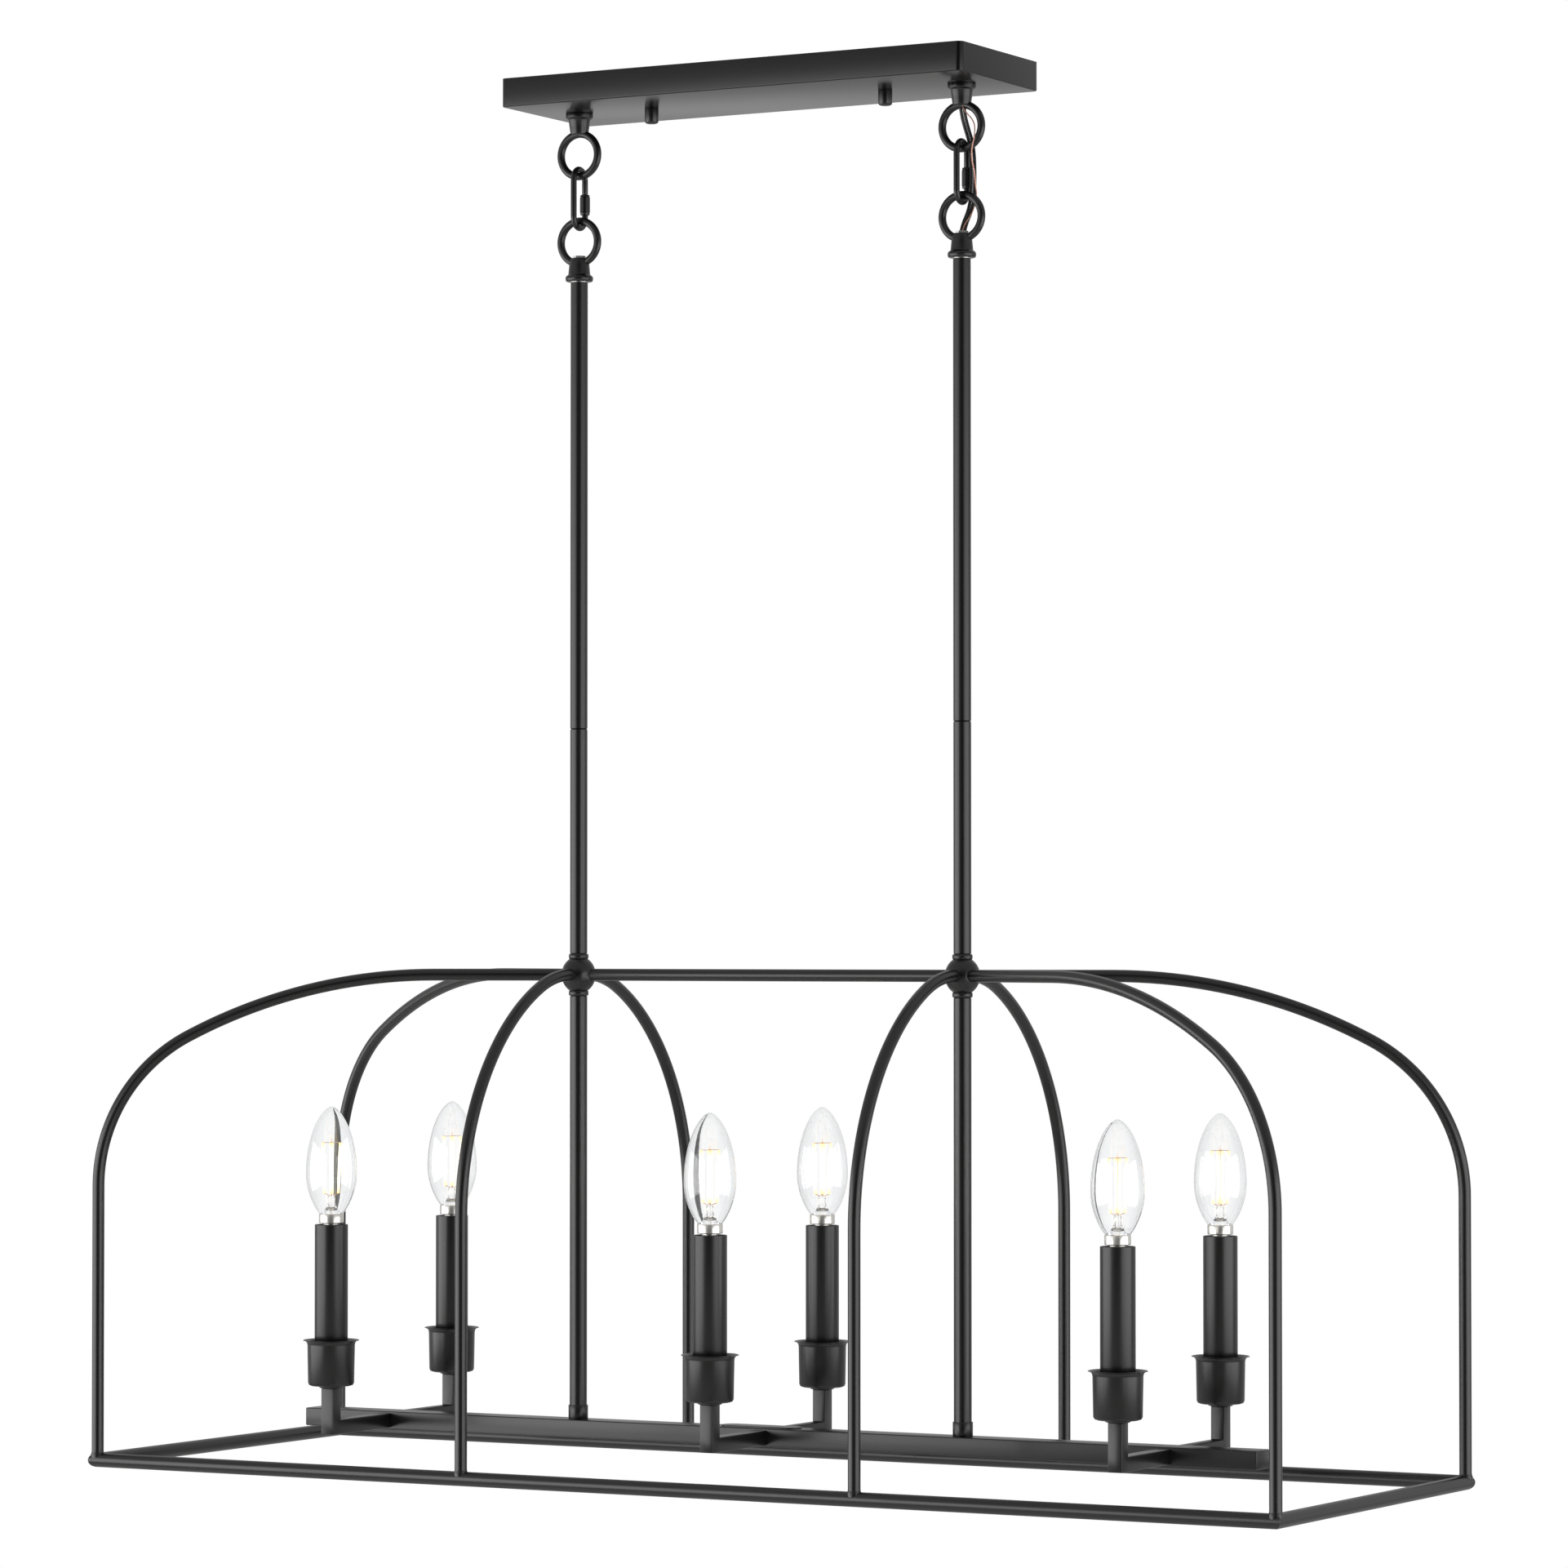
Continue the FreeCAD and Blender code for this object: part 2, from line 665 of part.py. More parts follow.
def make_hub(side, sign):
    """A ball with flats above and below, bored for the nipple and drilled for five rods."""
    x = f"{sign}stem_spacing / 2"
    levels = (-1, -0.6, -0.2, 0.2, 0.6, 1)
    round_at = "2 * sqrt((hub_diameter / 2)^2 - (hub_half_height * {level})^2)"
    ball = turned([
        (round_at.format(level=level), f"{HUB_CENTRE} + hub_half_height * {level}") for level in levels
    ], "turned_sides", x)
    bore = prism("nipple_diameter + 2 * nipple_clearance", "2 * hub_half_height", "nipple_sides", x,
                 z=f"{HUB_CENTRE} - hub_half_height")
    outward = 180 if sign == "-" else 0
    corner = corner_turn()
    seats = []
    for turn in (outward + 180, 90, -90, outward + corner, outward - corner):
        seat = doc.addObject("Part::Prism", "rod_seat")
        bind(seat, "Polygon", "rod_sides")
        bind(seat, "Circumradius", "rod_diameter / 2 + rod_clearance")
        bind(seat, "Height", "hub_diameter")
        along = FreeCAD.Vector(math.cos(math.radians(turn)), math.sin(math.radians(turn)), 0)
        seat.Placement = rod_frame(along, FreeCAD.Vector(
            float(sign + "1") * size("stem_spacing") / 2, 0, value_of(HUB_CENTRE)) + along * size("rod_seat"))
        seats.append(seat)
    return name(cut(cut(ball, bore), together(seats)), f"hub_ball_{side}")


def rod_frame(along, start):
    """A placement whose Z runs along a level rod, with the rod's first corner turned alike."""
    across = along.cross(FreeCAD.Vector(0, 0, 1))
    up = along.cross(across)
    return FreeCAD.Placement(start, FreeCAD.Rotation(across, up, along, "ZXY"))


# ---------------------------------------------------------------- cage of rods

def corner_turn():
    """The angle in plan between the fixture's length and a corner rod, in degrees."""
    ahead = size("frame_length") / 2 - size("stem_spacing") / 2
    return math.degrees(math.atan2(size("frame_width") / 2, ahead))


def make_arch(label, sign, turn, run, slope, top_radius, shoulder_radius, rails):
    """A rod that leaves a hub level, arches over and stands on the bottom frame.

    It is bent about a wide top radius and a shoulder, and its foot is cut to sit on the rails.
    """
    fall = math.radians(slope)
    between = top_radius * math.tan(fall / 2) + shoulder_radius * math.tan(math.pi / 4 - fall / 2)
    corners = [
        FreeCAD.Vector(size("rod_seat"), 0, 0),
        FreeCAD.Vector(run - between * math.cos(fall), 0, 0),
        FreeCAD.Vector(run, 0, -between * math.sin(fall)),
        FreeCAD.Vector(run, 0, -size("frame_drop")),
    ]
    shape = bent_rod(corners, [top_radius, shoulder_radius * SNUG], size("rod_diameter"),
                     size("rod_sides"), size("bend_step"))
    x = float(sign + "1") * size("stem_spacing") / 2
    rod = feature(shape, x=x, z=value_of(HUB_CENTRE), turn=turn)
    return name(cut(rod, together(rails)), label)


def make_centre_rod():
    """The straight rod between the hubs."""
    rod = doc.addObject("Part::Prism", "rod")
    bind(rod, "Polygon", "rod_sides")
    bind(rod, "Circumradius", "rod_diameter / 2")
    bind(rod, "Height", "stem_spacing - 2 * rod_seat")
    start = FreeCAD.Vector(size("rod_seat") - size("stem_spacing") / 2, 0, value_of(HUB_CENTRE))
    rod.Placement = rod_frame(FreeCAD.Vector(1, 0, 0), start)
    return name(rod, "centre_rod")


def rail_shape(length):
    """A round bar along X with both ends mitred at half a right angle, its outer side towards -Y."""
    radius = size("rail_diameter") / 2
    count = int(size("rail_sides"))
    section = [(radius * math.cos(2 * math.pi * i / count),
                radius * math.sin(2 * math.pi * i / count)) for i in range(count)]
    return skin([[FreeCAD.Vector(end * (length / 2 - y), y, z) for y, z in section] for end in (-1, 1)])


def make_rails():
    """The four mitred sides of the bottom frame."""
    length = size("frame_length")
    width = size("frame_width")
    z = value_of(RAIL_CENTRE)
    sides = (
        ("rail_front", length, 0, -width / 2, 0),
        ("rail_back", length, 0, width / 2, 180),
        ("rail_left", width, -length / 2, 0, -90),
        ("rail_right", width, length / 2, 0, 90),
    )
    return [name(feature(rail_shape(long), x, y, z, turn), label) for label, long, x, y, turn in sides]


# ---------------------------------------------------------------- lamp bar and arms

def block(length, depth, height, x="0", y="0", z="0"):
    """A box centred on x and y, standing on z."""
    box = doc.addObject("Part::Box", "block")
    bind(box, "Length", length)
    bind(box, "Width", depth)
    bind(box, "Height", height)
    return put(box, f"{x} - ({length}) / 2", f"{y} - ({depth}) / 2", z)


def make_bar():
    """The hollow bar that holds the lamps, with a wiring slot and a hole under each stem."""
    outside = block("bar_length", "bar_depth", "bar_height", z=f"{BAR_TOP} - bar_height")
    hollow = block("bar_length - 2 * bar_wall", "bar_depth - 2 * bar_wall", "bar_height - 2 * bar_wall",
                   z=f"{BAR_TOP} - bar_height + bar_wall")
    slot = block("bar_slot_length", "bar_slot_width", "2 * bar_wall", "cover_place", z=f"{BAR_TOP} - 1.5 * bar_wall")
    holes = [prism("nipple_diameter + 2 * nipple_clearance", "2 * bar_wall", "nipple_sides",
                   f"{sign}stem_spacing / 2", z=f"{BAR_TOP} - 1.5 * bar_wall") for sign in ("-", "")]
    return name(cut(outside, together([hollow, slot] + holes)), "centre_bar")


def make_bar_cover():
    """The thin plate with rounded ends that closes the wiring slot."""
    middle = block("cover_length - cover_width", "cover_width", "cover_thickness", "cover_place", z=BAR_TOP)
    ends = [prism("cover_width", "cover_thickness", "turned_sides",
                  f"cover_place {sign} (cover_length - cover_width) / 2", z=BAR_TOP) for sign in ("-", "+")]
    return name(together([middle] + ends, "Part::MultiFuse"), "bar_cover")


def make_bar_collars():
    """The two plain collars that stand on the bar round the stems' feet."""
    collars = []
    for sign in ("-", ""):
        x = f"{sign}stem_spacing / 2"
        outside = prism("bar_collar_diameter", "bar_collar_height", "stem_sides", x, z=BAR_TOP)
        inside = prism("stem_diameter + 2 * bar_collar_clearance", "bar_collar_height", "stem_sides", x, z=BAR_TOP)
        collars.append(cut(outside, inside))
    return name(together(collars), "bar_collars")


def candle_places():
    """The six candles' places as formulas, front row first."""
    return [(x, y) for y in ("-candle_offset", "candle_offset")
            for x in ("-candle_spacing", "0", "candle_spacing")]


def make_arms():
    """Six square arms: level out from the bar, then up under a cup, with a sharp corner."""
    arms = []
    for x, y in candle_places():
        sign = "-" if y.startswith("-") else ""
        arm = body("lamp_arm")
        side = sketch_on(arm, "YZ_Plane")
        inner = f"{sign}bar_depth / 2"
        outer = f"{sign}(candle_offset + arm_square / 2)"
        neck = f"{sign}(candle_offset - arm_square / 2)"
        low = f"{BAR_CENTRE} - arm_square / 2"
        high = f"{BAR_CENTRE} + arm_square / 2"
        top = f"{CUP_FLOOR} - cup_neck_height"
        outline(side, [(inner, low), (outer, low), (outer, top), (neck, top), (neck, high), (inner, high)])
        pad(arm, side, "arm_square", both=True)
        arms.append(put(arm, x))
    return name(together(arms), "lamp_arms")


# ---------------------------------------------------------------- candles and lamps

def make_cups():
    """Six turned cups with a flared thin rim and a short neck on the arm."""
    cups = []
    for x, y in candle_places():
        outside = turned([
            ("cup_neck_diameter", f"{CUP_FLOOR} - cup_neck_height"),
            ("cup_foot_diameter", CUP_FLOOR),
            ("cup_bottom_diameter", f"{CUP_FLOOR} + cup_wall * 0.2"),
            ("cup_shoulder_diameter", f"{CUP_FLOOR} + cup_shoulder_height"),
            ("cup_diameter", f"{CUP_FLOOR} + cup_height - cup_rim_height"),
            ("cup_rim_diameter", f"{CUP_FLOOR} + cup_height"),
        ], "turned_sides", x, y)
        inside = turned([
            ("cup_shoulder_diameter - 3 * cup_wall", f"{CUP_FLOOR} + cup_shoulder_height"),
            ("cup_diameter - 2 * cup_wall", f"{CUP_FLOOR} + cup_height - cup_rim_height + cup_wall / 2"),
            ("cup_rim_diameter - cup_wall", f"{CUP_FLOOR} + cup_height + cup_wall / 8"),
        ], "turned_sides", x, y)
        cups.append(cut(outside, inside))
    return name(together(cups), "candle_cups")


def make_sleeves():
    """Six open candle sleeves that stand in the cups over the sockets."""
    sleeves = []
    for x, y in candle_places():
        low = f"{CUP_FLOOR} + cup_shoulder_height"
        height = "sleeve_top - cup_shoulder_height"
        outside = prism("sleeve_diameter", height, "turned_sides", x, y, low)
        inside = prism("sleeve_diameter - 2 * sleeve_wall", height, "turned_sides", x, y, low)
        sleeves.append(cut(outside, inside))
    return name(together(sleeves), "candle_sleeves")


def make_sockets():
    """Six candelabra lamp sockets on their posts, hidden in the sleeves."""
    sockets = []
    for x, y in candle_places():
        low = f"{CUP_FLOOR} + cup_shoulder_height"
        post = prism("socket_diameter", "sleeve_top - socket_recess - cup_shoulder_height", "cap_sides", x, y, low)
        mouth = prism("socket_bore", "socket_bore_depth + socket_recess", "cap_sides",
                      x, y, f"{SLEEVE_TOP} - socket_recess - socket_bore_depth")
        sockets.append(cut(post, mouth))
    return name(together(sockets), "lamp_sockets")


def make_lamp(number, x, y):
    """One clear torpedo lamp: its screw cap with the collar, and its glass."""
    cap = turned([
        ("lamp_screw_diameter * 0.6", f"{SLEEVE_TOP} - lamp_screw_length"),
        ("lamp_screw_diameter", f"{SLEEVE_TOP} - lamp_screw_length * 0.8"),
        ("lamp_screw_diameter", f"{SLEEVE_TOP} + lamp_collar_height * 0.05"),
        ("lamp_collar_diameter", f"{SLEEVE_TOP} + lamp_collar_height * 0.15"),
        ("lamp_collar_diameter", f"{SLEEVE_TOP} + lamp_collar_height"),
    ], "cap_sides", x, y)
    name(cap, f"lamp_cap_{number}")
    seat = f"({SLEEVE_TOP} + lamp_collar_height)"
    tip = "(glass_length - glass_belly)"
    swell = "lamp_collar_diameter + (glass_diameter - lamp_collar_diameter) * {share}"
    narrowing = "glass_diameter * (1 - {share}^2)^0.6"
    outside = [("lamp_collar_diameter * 0.96", seat)]
    outside += [(swell.format(share=share), f"{seat} + glass_belly * {up}")
                for up, share in ((0.15, 0.28), (0.4, 0.68), (1, 1))]
    outside += [(narrowing.format(share=up), f"{seat} + glass_belly + {tip} * {up}")
                for up in (0.3, 0.55, 0.78, 0.93)]
    outside.append(("glass_diameter * 0.08", f"{seat} + glass_length"))
    inside = [("lamp_collar_diameter * 0.96 - 2 * glass_wall", f"{seat} - glass_wall")]
    inside += [(f"{narrowing.format(share=up)} - 3 * glass_wall", f"{seat} + glass_belly + {tip} * {up}")
               for up in (0, 0.55, 0.93)]
    glass = cut(turned(outside, "turned_sides", x, y), turned(inside, "turned_sides", x, y))
    name(glass, f"lamp_glass_{number}")


# ---------------------------------------------------------------- wires at the right suspension

def wire(corners, diameter):
    """A loose wire through corners chosen by hand, with the largest tangent arcs they allow."""
    bends = []
    length = 0
    for before, corner, after in zip(corners, corners[1:], corners[2:]):
        turn = (corner - before).getAngle(after - corner)
        shorter = min((corner - before).Length, (after - corner).Length)
        radius = 0.45 * shorter / math.tan(turn / 2)
        bends.append(radius)
        length += radius * turn - 2 * radius * math.tan(turn / 2)
    length += sum((b - a).Length for a, b in zip(corners, corners[1:]))
    sides = size("lead_sides")
    shape = bent_rod(corners, bends, diameter, sides, size("lead_step"))
    section = sides / 2 * (diameter / 2) ** 2 * math.sin(2 * math.pi / sides)
    print("wire radii", [round(r, 1) for r in bends], "length", round(length, 2),
          "volume", round(shape.Volume, 2), "section by length", round(section * length, 2))
    return shape


def places_from(points):
    """Route points as vectors, measured from the right suspension's axis on the ceiling."""
    return [FreeCAD.Vector(size("stem_spacing") / 2 + x, y, z) for x, y, z in points]


def make_wires():
    """The two insulated leads and the bare earth wire that pass the right-hand link.

    Each is made in two pieces that meet halfway down the link.
    """
    beside = (size("wire_diameter") + size("wire_pair_gap")) / 2
    across = FreeCAD.Vector(0.87, 0.49, 0) * beside
    top = value_of(f"-canopy_height - loop_flange_height - loop_cone_height + wire_tuck")
    bottom = value_of(f"{BOSS_TOP} + nipple_proud - wire_tuck")
    upper = places_from(LEAD_ABOVE)
    upper[0].z = top
    lower = places_from(LEAD_BELOW)
    lower[-1].z = bottom
    for label, route in (("supply_leads_upper", upper), ("supply_leads_lower", lower)):
        pair = [feature(wire([p + across * sign for p in route], size("wire_diameter"))) for sign in (-1, 1)]
        name(together(pair), label)
    upper = places_from(EARTH_ABOVE)
    upper[0].z = top
    lower = places_from(EARTH_BELOW)
    lower[-1].z = bottom
    for label, route in (("ground_wire_upper", upper), ("ground_wire_lower", lower)):
        name(feature(wire(route, size("ground_wire_diameter"))), label)


LEAD_ABOVE = [(0, 0, -29), (0.4, 0.8, -37), (4.2, 5.0, -49), (7.1, 5.2, -62), (7.1, 5.2, -75.4)]
LEAD_BELOW = [(7.1, 5.2, -75.4), (7.1, 5.2, -89), (3.6, 4.6, -101), (0.5, 1.0, -111), (0, 0, -119)]
EARTH_ABOVE = [(0.5, -1.6, -29), (1.1, -2.0, -36), (8.2, -3.6, -46), (8.8, -4.6, -57),
               (8.0, -2.4, -66.4), (9.4, 0.6, -75.4)]
EARTH_BELOW = [(9.4, 0.6, -75.4), (10.8, 3.6, -84.4), (9.0, 5.4, -94), (6.4, 3.0, -103),
               (1.2, -0.8, -111), (0.6, -2.1, -119)]


# ---------------------------------------------------------------- assembly

make_canopy()
make_crossbar()
make_studs()
make_cap_nuts()
make_ground_screw()
for side, sign in SIDES:
    make_canopy_loop(side, sign)
    make_quick_link(side, sign)
    make_sleeve_nut(side, sign)
    make_stem_loop(side, sign)
    tube("upper_stem", side, sign, "stem_diameter", "stem_bore", STEM_JOINT, "upper_stem_length")
    tube("middle_stem", side, sign, "stem_diameter", "stem_bore", HUB_TOP, "middle_stem_length")
    make_hub(side, sign)
    tube("lower_stem", side, sign, "stem_diameter", "stem_bore", BAR_TOP, "lower_stem_length")
make_lock_nuts()
make_couplers()
make_collars()
make_centre_rod()
rails = make_rails()
for side, sign in SIDES:
    outward = 180 if sign == "-" else 0
    along = corner_turn() * (-1 if sign == "-" else 1)
    run = math.hypot((size("frame_length") - size("stem_spacing")) / 2, size("frame_width") / 2)
    bends = (size("corner_slope"), size("corner_top_radius"), size("corner_shoulder_radius"), rails)
    make_arch(f"corner_arch_front_{side}", sign, outward - along, run, *bends)
    make_arch(f"corner_arch_back_{side}", sign, outward + along, run, *bends)
    bends = (size("side_slope"), size("side_top_radius"), size("side_shoulder_radius"), rails)
    make_arch(f"side_arch_front_{side}", sign, -90, size("frame_width") / 2, *bends)
    make_arch(f"side_arch_back_{side}", sign, 90, size("frame_width") / 2, *bends)
make_bar()
make_bar_cover()
make_bar_collars()
make_arms()
make_cups()
make_sleeves()
make_sockets()
for number, (x, y) in enumerate(candle_places(), start=1):
    make_lamp(number, x, y)
make_wires()
doc.recompute()

for thing in doc.Objects:
    if "Invalid" in thing.State or "Error" in thing.State:
        raise SystemExit(f"{thing.Label} did not build: {thing.State}")
os.makedirs("parts", exist_ok=True)
for thing in finished:
    if thing.Shape.isNull() or not thing.Shape.isValid():
        raise SystemExit(f"{thing.Label} has no valid shape")
    thing.Shape.exportStep(f"parts/{thing.Label}.step")
print(len(finished), "sub-parts written")
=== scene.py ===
import math
import bpy
from mathutils import Matrix, Vector


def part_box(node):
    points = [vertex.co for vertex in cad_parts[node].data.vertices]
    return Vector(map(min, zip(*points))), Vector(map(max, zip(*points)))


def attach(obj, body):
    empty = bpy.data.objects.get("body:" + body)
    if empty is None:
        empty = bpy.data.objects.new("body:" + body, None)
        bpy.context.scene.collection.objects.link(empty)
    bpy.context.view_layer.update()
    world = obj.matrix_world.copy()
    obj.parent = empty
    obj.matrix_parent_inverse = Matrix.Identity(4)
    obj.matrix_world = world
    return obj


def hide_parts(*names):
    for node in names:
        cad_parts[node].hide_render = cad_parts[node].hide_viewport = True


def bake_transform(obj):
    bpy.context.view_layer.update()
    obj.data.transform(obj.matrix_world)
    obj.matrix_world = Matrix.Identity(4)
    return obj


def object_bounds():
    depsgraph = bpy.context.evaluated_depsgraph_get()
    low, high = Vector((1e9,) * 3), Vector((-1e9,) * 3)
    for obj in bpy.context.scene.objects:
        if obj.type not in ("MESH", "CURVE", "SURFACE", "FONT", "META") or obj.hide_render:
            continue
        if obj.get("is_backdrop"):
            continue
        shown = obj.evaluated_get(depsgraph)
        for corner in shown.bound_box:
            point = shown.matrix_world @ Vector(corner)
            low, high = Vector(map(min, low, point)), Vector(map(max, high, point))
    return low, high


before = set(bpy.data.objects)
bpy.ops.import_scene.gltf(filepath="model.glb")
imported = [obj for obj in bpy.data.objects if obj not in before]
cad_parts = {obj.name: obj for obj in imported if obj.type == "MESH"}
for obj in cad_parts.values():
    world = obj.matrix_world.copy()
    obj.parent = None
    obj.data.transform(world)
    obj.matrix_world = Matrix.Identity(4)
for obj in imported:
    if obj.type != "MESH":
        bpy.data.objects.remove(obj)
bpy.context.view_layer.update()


# ---- The studio: a long lens a little below the middle of the fixture, which hangs in front of white.
# A pale floor far below and two tall soft lamps at the sides, level with the cage.
camera = bpy.data.objects.new("camera", bpy.data.cameras.new("camera"))
bpy.context.scene.collection.objects.link(camera)
camera.location = (1.907, -3.386, -0.571)
camera.rotation_euler = (math.radians(91.51), 0, math.radians(29.23))
camera.data.lens = 136.36
camera.data.sensor_width = 36
camera.data.clip_end = 60
bpy.context.scene.camera = camera
bpy.context.scene.view_settings.view_transform = "Standard"

floor_size, floor_height = 20, -2.4
bpy.ops.object.select_all(action="DESELECT")
bpy.ops.mesh.primitive_plane_add(size=floor_size, location=(0, 0, floor_height))
floor = bpy.context.active_object
floor.name = "floor"
floor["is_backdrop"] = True
floor_paint = bpy.data.materials.new("floor_paint")
floor_paint.use_nodes = True
paint_nodes = floor_paint.node_tree.nodes
paint_links = floor_paint.node_tree.links
paint = paint_nodes["Principled BSDF"]
paint.inputs["Roughness"].default_value = 0.8
mottle = paint_nodes.new("ShaderNodeTexNoise")
mottle.inputs["Scale"].default_value = 3.0
mottle_tint = paint_nodes.new("ShaderNodeMix")
mottle_tint.data_type = "RGBA"
mottle_tint.inputs["A"].default_value = (0.82, 0.82, 0.81, 1)
mottle_tint.inputs["B"].default_value = (0.86, 0.86, 0.855, 1)
paint_place = paint_nodes.new("ShaderNodeTexCoord")
paint_links.new(paint_place.outputs["Object"], mottle.inputs["Vector"])
paint_links.new(mottle.outputs["Fac"], mottle_tint.inputs["Factor"])
paint_links.new(mottle_tint.outputs["Result"], paint.inputs["Base Color"])
paint_links.new(mottle_tint.outputs["Result"], paint.inputs["Emission Color"])
# The lens, and what it sees through the lamps' glass, gets the floor lifted toward the white wall.
paint_ray = paint_nodes.new("ShaderNodeLightPath")
paint_seen = paint_nodes.new("ShaderNodeMath")
paint_seen.operation = "MAXIMUM"
paint_links.new(paint_ray.outputs["Is Camera Ray"], paint_seen.inputs[0])
paint_links.new(paint_ray.outputs["Is Transmission Ray"], paint_seen.inputs[1])
paint_lift = paint_nodes.new("ShaderNodeMath")
paint_lift.operation = "MULTIPLY"
paint_lift.inputs[1].default_value = 0.66
paint_links.new(paint_seen.outputs[0], paint_lift.inputs[0])
paint_links.new(paint_lift.outputs[0], paint.inputs["Emission Strength"])
floor.data.materials.append(floor_paint)

# The room is white to the lens, softer as a light, and grey in reflections, with a dark patch that
# stands for the camera's side of the studio.
room = bpy.data.worlds.new("room")
bpy.context.scene.world = room
room.use_nodes = True
sky = room.node_tree.nodes
sky_links = room.node_tree.links
soft_light = sky["Background"]
soft_light.inputs["Color"].default_value = (1, 1, 1, 1)
soft_light.inputs["Strength"].default_value = 0.5
white_wall = sky.new("ShaderNodeBackground")
white_wall.inputs["Color"].default_value = (1, 1, 1, 1)
mirrored_wall = sky.new("ShaderNodeBackground")
where = sky.new("ShaderNodeTexCoord")
toward_lens = sky.new("ShaderNodeVectorMath")
toward_lens.operation = "DOT_PRODUCT"
toward_lens.inputs[1].default_value = (0.488, -0.873, -0.026)
sky_links.new(where.outputs["Generated"], toward_lens.inputs[0])
dark_side = sky.new("ShaderNodeMapRange")
dark_side.interpolation_type = "SMOOTHSTEP"
dark_side.inputs["From Min"].default_value = 0.985
dark_side.inputs["From Max"].default_value = 0.72
dark_side.inputs["To Min"].default_value = 0.0
dark_side.inputs["To Max"].default_value = 0.6
sky_links.new(toward_lens.outputs["Value"], dark_side.inputs["Value"])
sky_links.new(dark_side.outputs["Result"], mirrored_wall.inputs["Color"])
ray = sky.new("ShaderNodeLightPath")
if_glossy = sky.new("ShaderNodeMixShader")
sky_links.new(ray.outputs["Is Glossy Ray"], if_glossy.inputs[0])
sky_links.new(soft_light.outputs[0], if_glossy.inputs[1])
sky_links.new(mirrored_wall.outputs[0], if_glossy.inputs[2])
seen = sky.new("ShaderNodeMath")
seen.operation = "MAXIMUM"
sky_links.new(ray.outputs["Is Camera Ray"], seen.inputs[0])
sky_links.new(ray.outputs["Is Transmission Ray"], seen.inputs[1])
if_seen = sky.new("ShaderNodeMixShader")
sky_links.new(seen.outputs[0], if_seen.inputs[0])
sky_links.new(if_glossy.outputs[0], if_seen.inputs[1])
sky_links.new(white_wall.outputs[0], if_seen.inputs[2])
sky_links.new(if_seen.outputs[0], sky["World Output"].inputs["Surface"])

softbox_height = -0.87
for label, place, width, height, power in (
    ("left_softbox", (-1.93, -1.75, softbox_height), 3.4, 1.65, 56),
    ("right_softbox", (2.6, -0.22, softbox_height), 3.3, 1.65, 42),
):
    lamp = bpy.data.objects.new(label, bpy.data.lights.new(label, "AREA"))
    bpy.context.scene.collection.objects.link(lamp)
    lamp.data.shape = "RECTANGLE"
    lamp.data.size = width
    lamp.data.size_y = height
    lamp.data.energy = power
    lamp.location = place
    aim = Vector((0, 0, softbox_height)) - Vector(place)
    lamp.rotation_euler = aim.to_track_quat("-Z", "Y").to_euler()


# ---- Canopy: a shallow pan pressed from sheet steel, 344 by 109.4 by 19 mm, open to the ceiling.
# Its upright corners and lower edge are rounded, and it is powder coated a satin black.
def grain_group():
    """Fine orange-peel of a baked powder coat: a colour, a roughness and a height."""
    group = bpy.data.node_groups.new("powder_grain", "ShaderNodeTree")
    for word, kind, value in (
        ("Grain", "NodeSocketFloat", 1400.0),
        ("Dark", "NodeSocketColor", (0.0030, 0.0030, 0.0030, 1)),
        ("Light", "NodeSocketColor", (0.0052, 0.0052, 0.0050, 1)),
        ("Smooth", "NodeSocketFloat", 0.26),
        ("Rough", "NodeSocketFloat", 0.34),
    ):
        socket = group.interface.new_socket(word, in_out="INPUT", socket_type=kind)
        socket.default_value = value
    for word, kind in (
        ("Color", "NodeSocketColor"), ("Roughness", "NodeSocketFloat"), ("Height", "NodeSocketFloat"),
    ):
        group.interface.new_socket(word, in_out="OUTPUT", socket_type=kind)
    nodes, links = group.nodes, group.links
    given = nodes.new("NodeGroupInput")
    wanted = nodes.new("NodeGroupOutput")
    place = nodes.new("ShaderNodeTexCoord")
    fine = nodes.new("ShaderNodeTexNoise")
    fine.inputs["Detail"].default_value = 3.0
    links.new(place.outputs["Object"], fine.inputs["Vector"])
    links.new(given.outputs["Grain"], fine.inputs["Scale"])
    cloud = nodes.new("ShaderNodeTexNoise")
    cloud.inputs["Scale"].default_value = 28.0
    cloud.inputs["Detail"].default_value = 4.0
    links.new(place.outputs["Object"], cloud.inputs["Vector"])
    tint = nodes.new("ShaderNodeMix")
    tint.data_type = "RGBA"
    links.new(cloud.outputs["Fac"], tint.inputs["Factor"])
    links.new(given.outputs["Dark"], tint.inputs["A"])
    links.new(given.outputs["Light"], tint.inputs["B"])
    shine = nodes.new("ShaderNodeMix")
    links.new(fine.outputs["Fac"], shine.inputs["Factor"])
    links.new(given.outputs["Smooth"], shine.inputs["A"])
    links.new(given.outputs["Rough"], shine.inputs["B"])
    links.new(tint.outputs["Result"], wanted.inputs["Color"])
    links.new(shine.outputs["Result"], wanted.inputs["Roughness"])
    links.new(fine.outputs["Fac"], wanted.inputs["Height"])
    return group


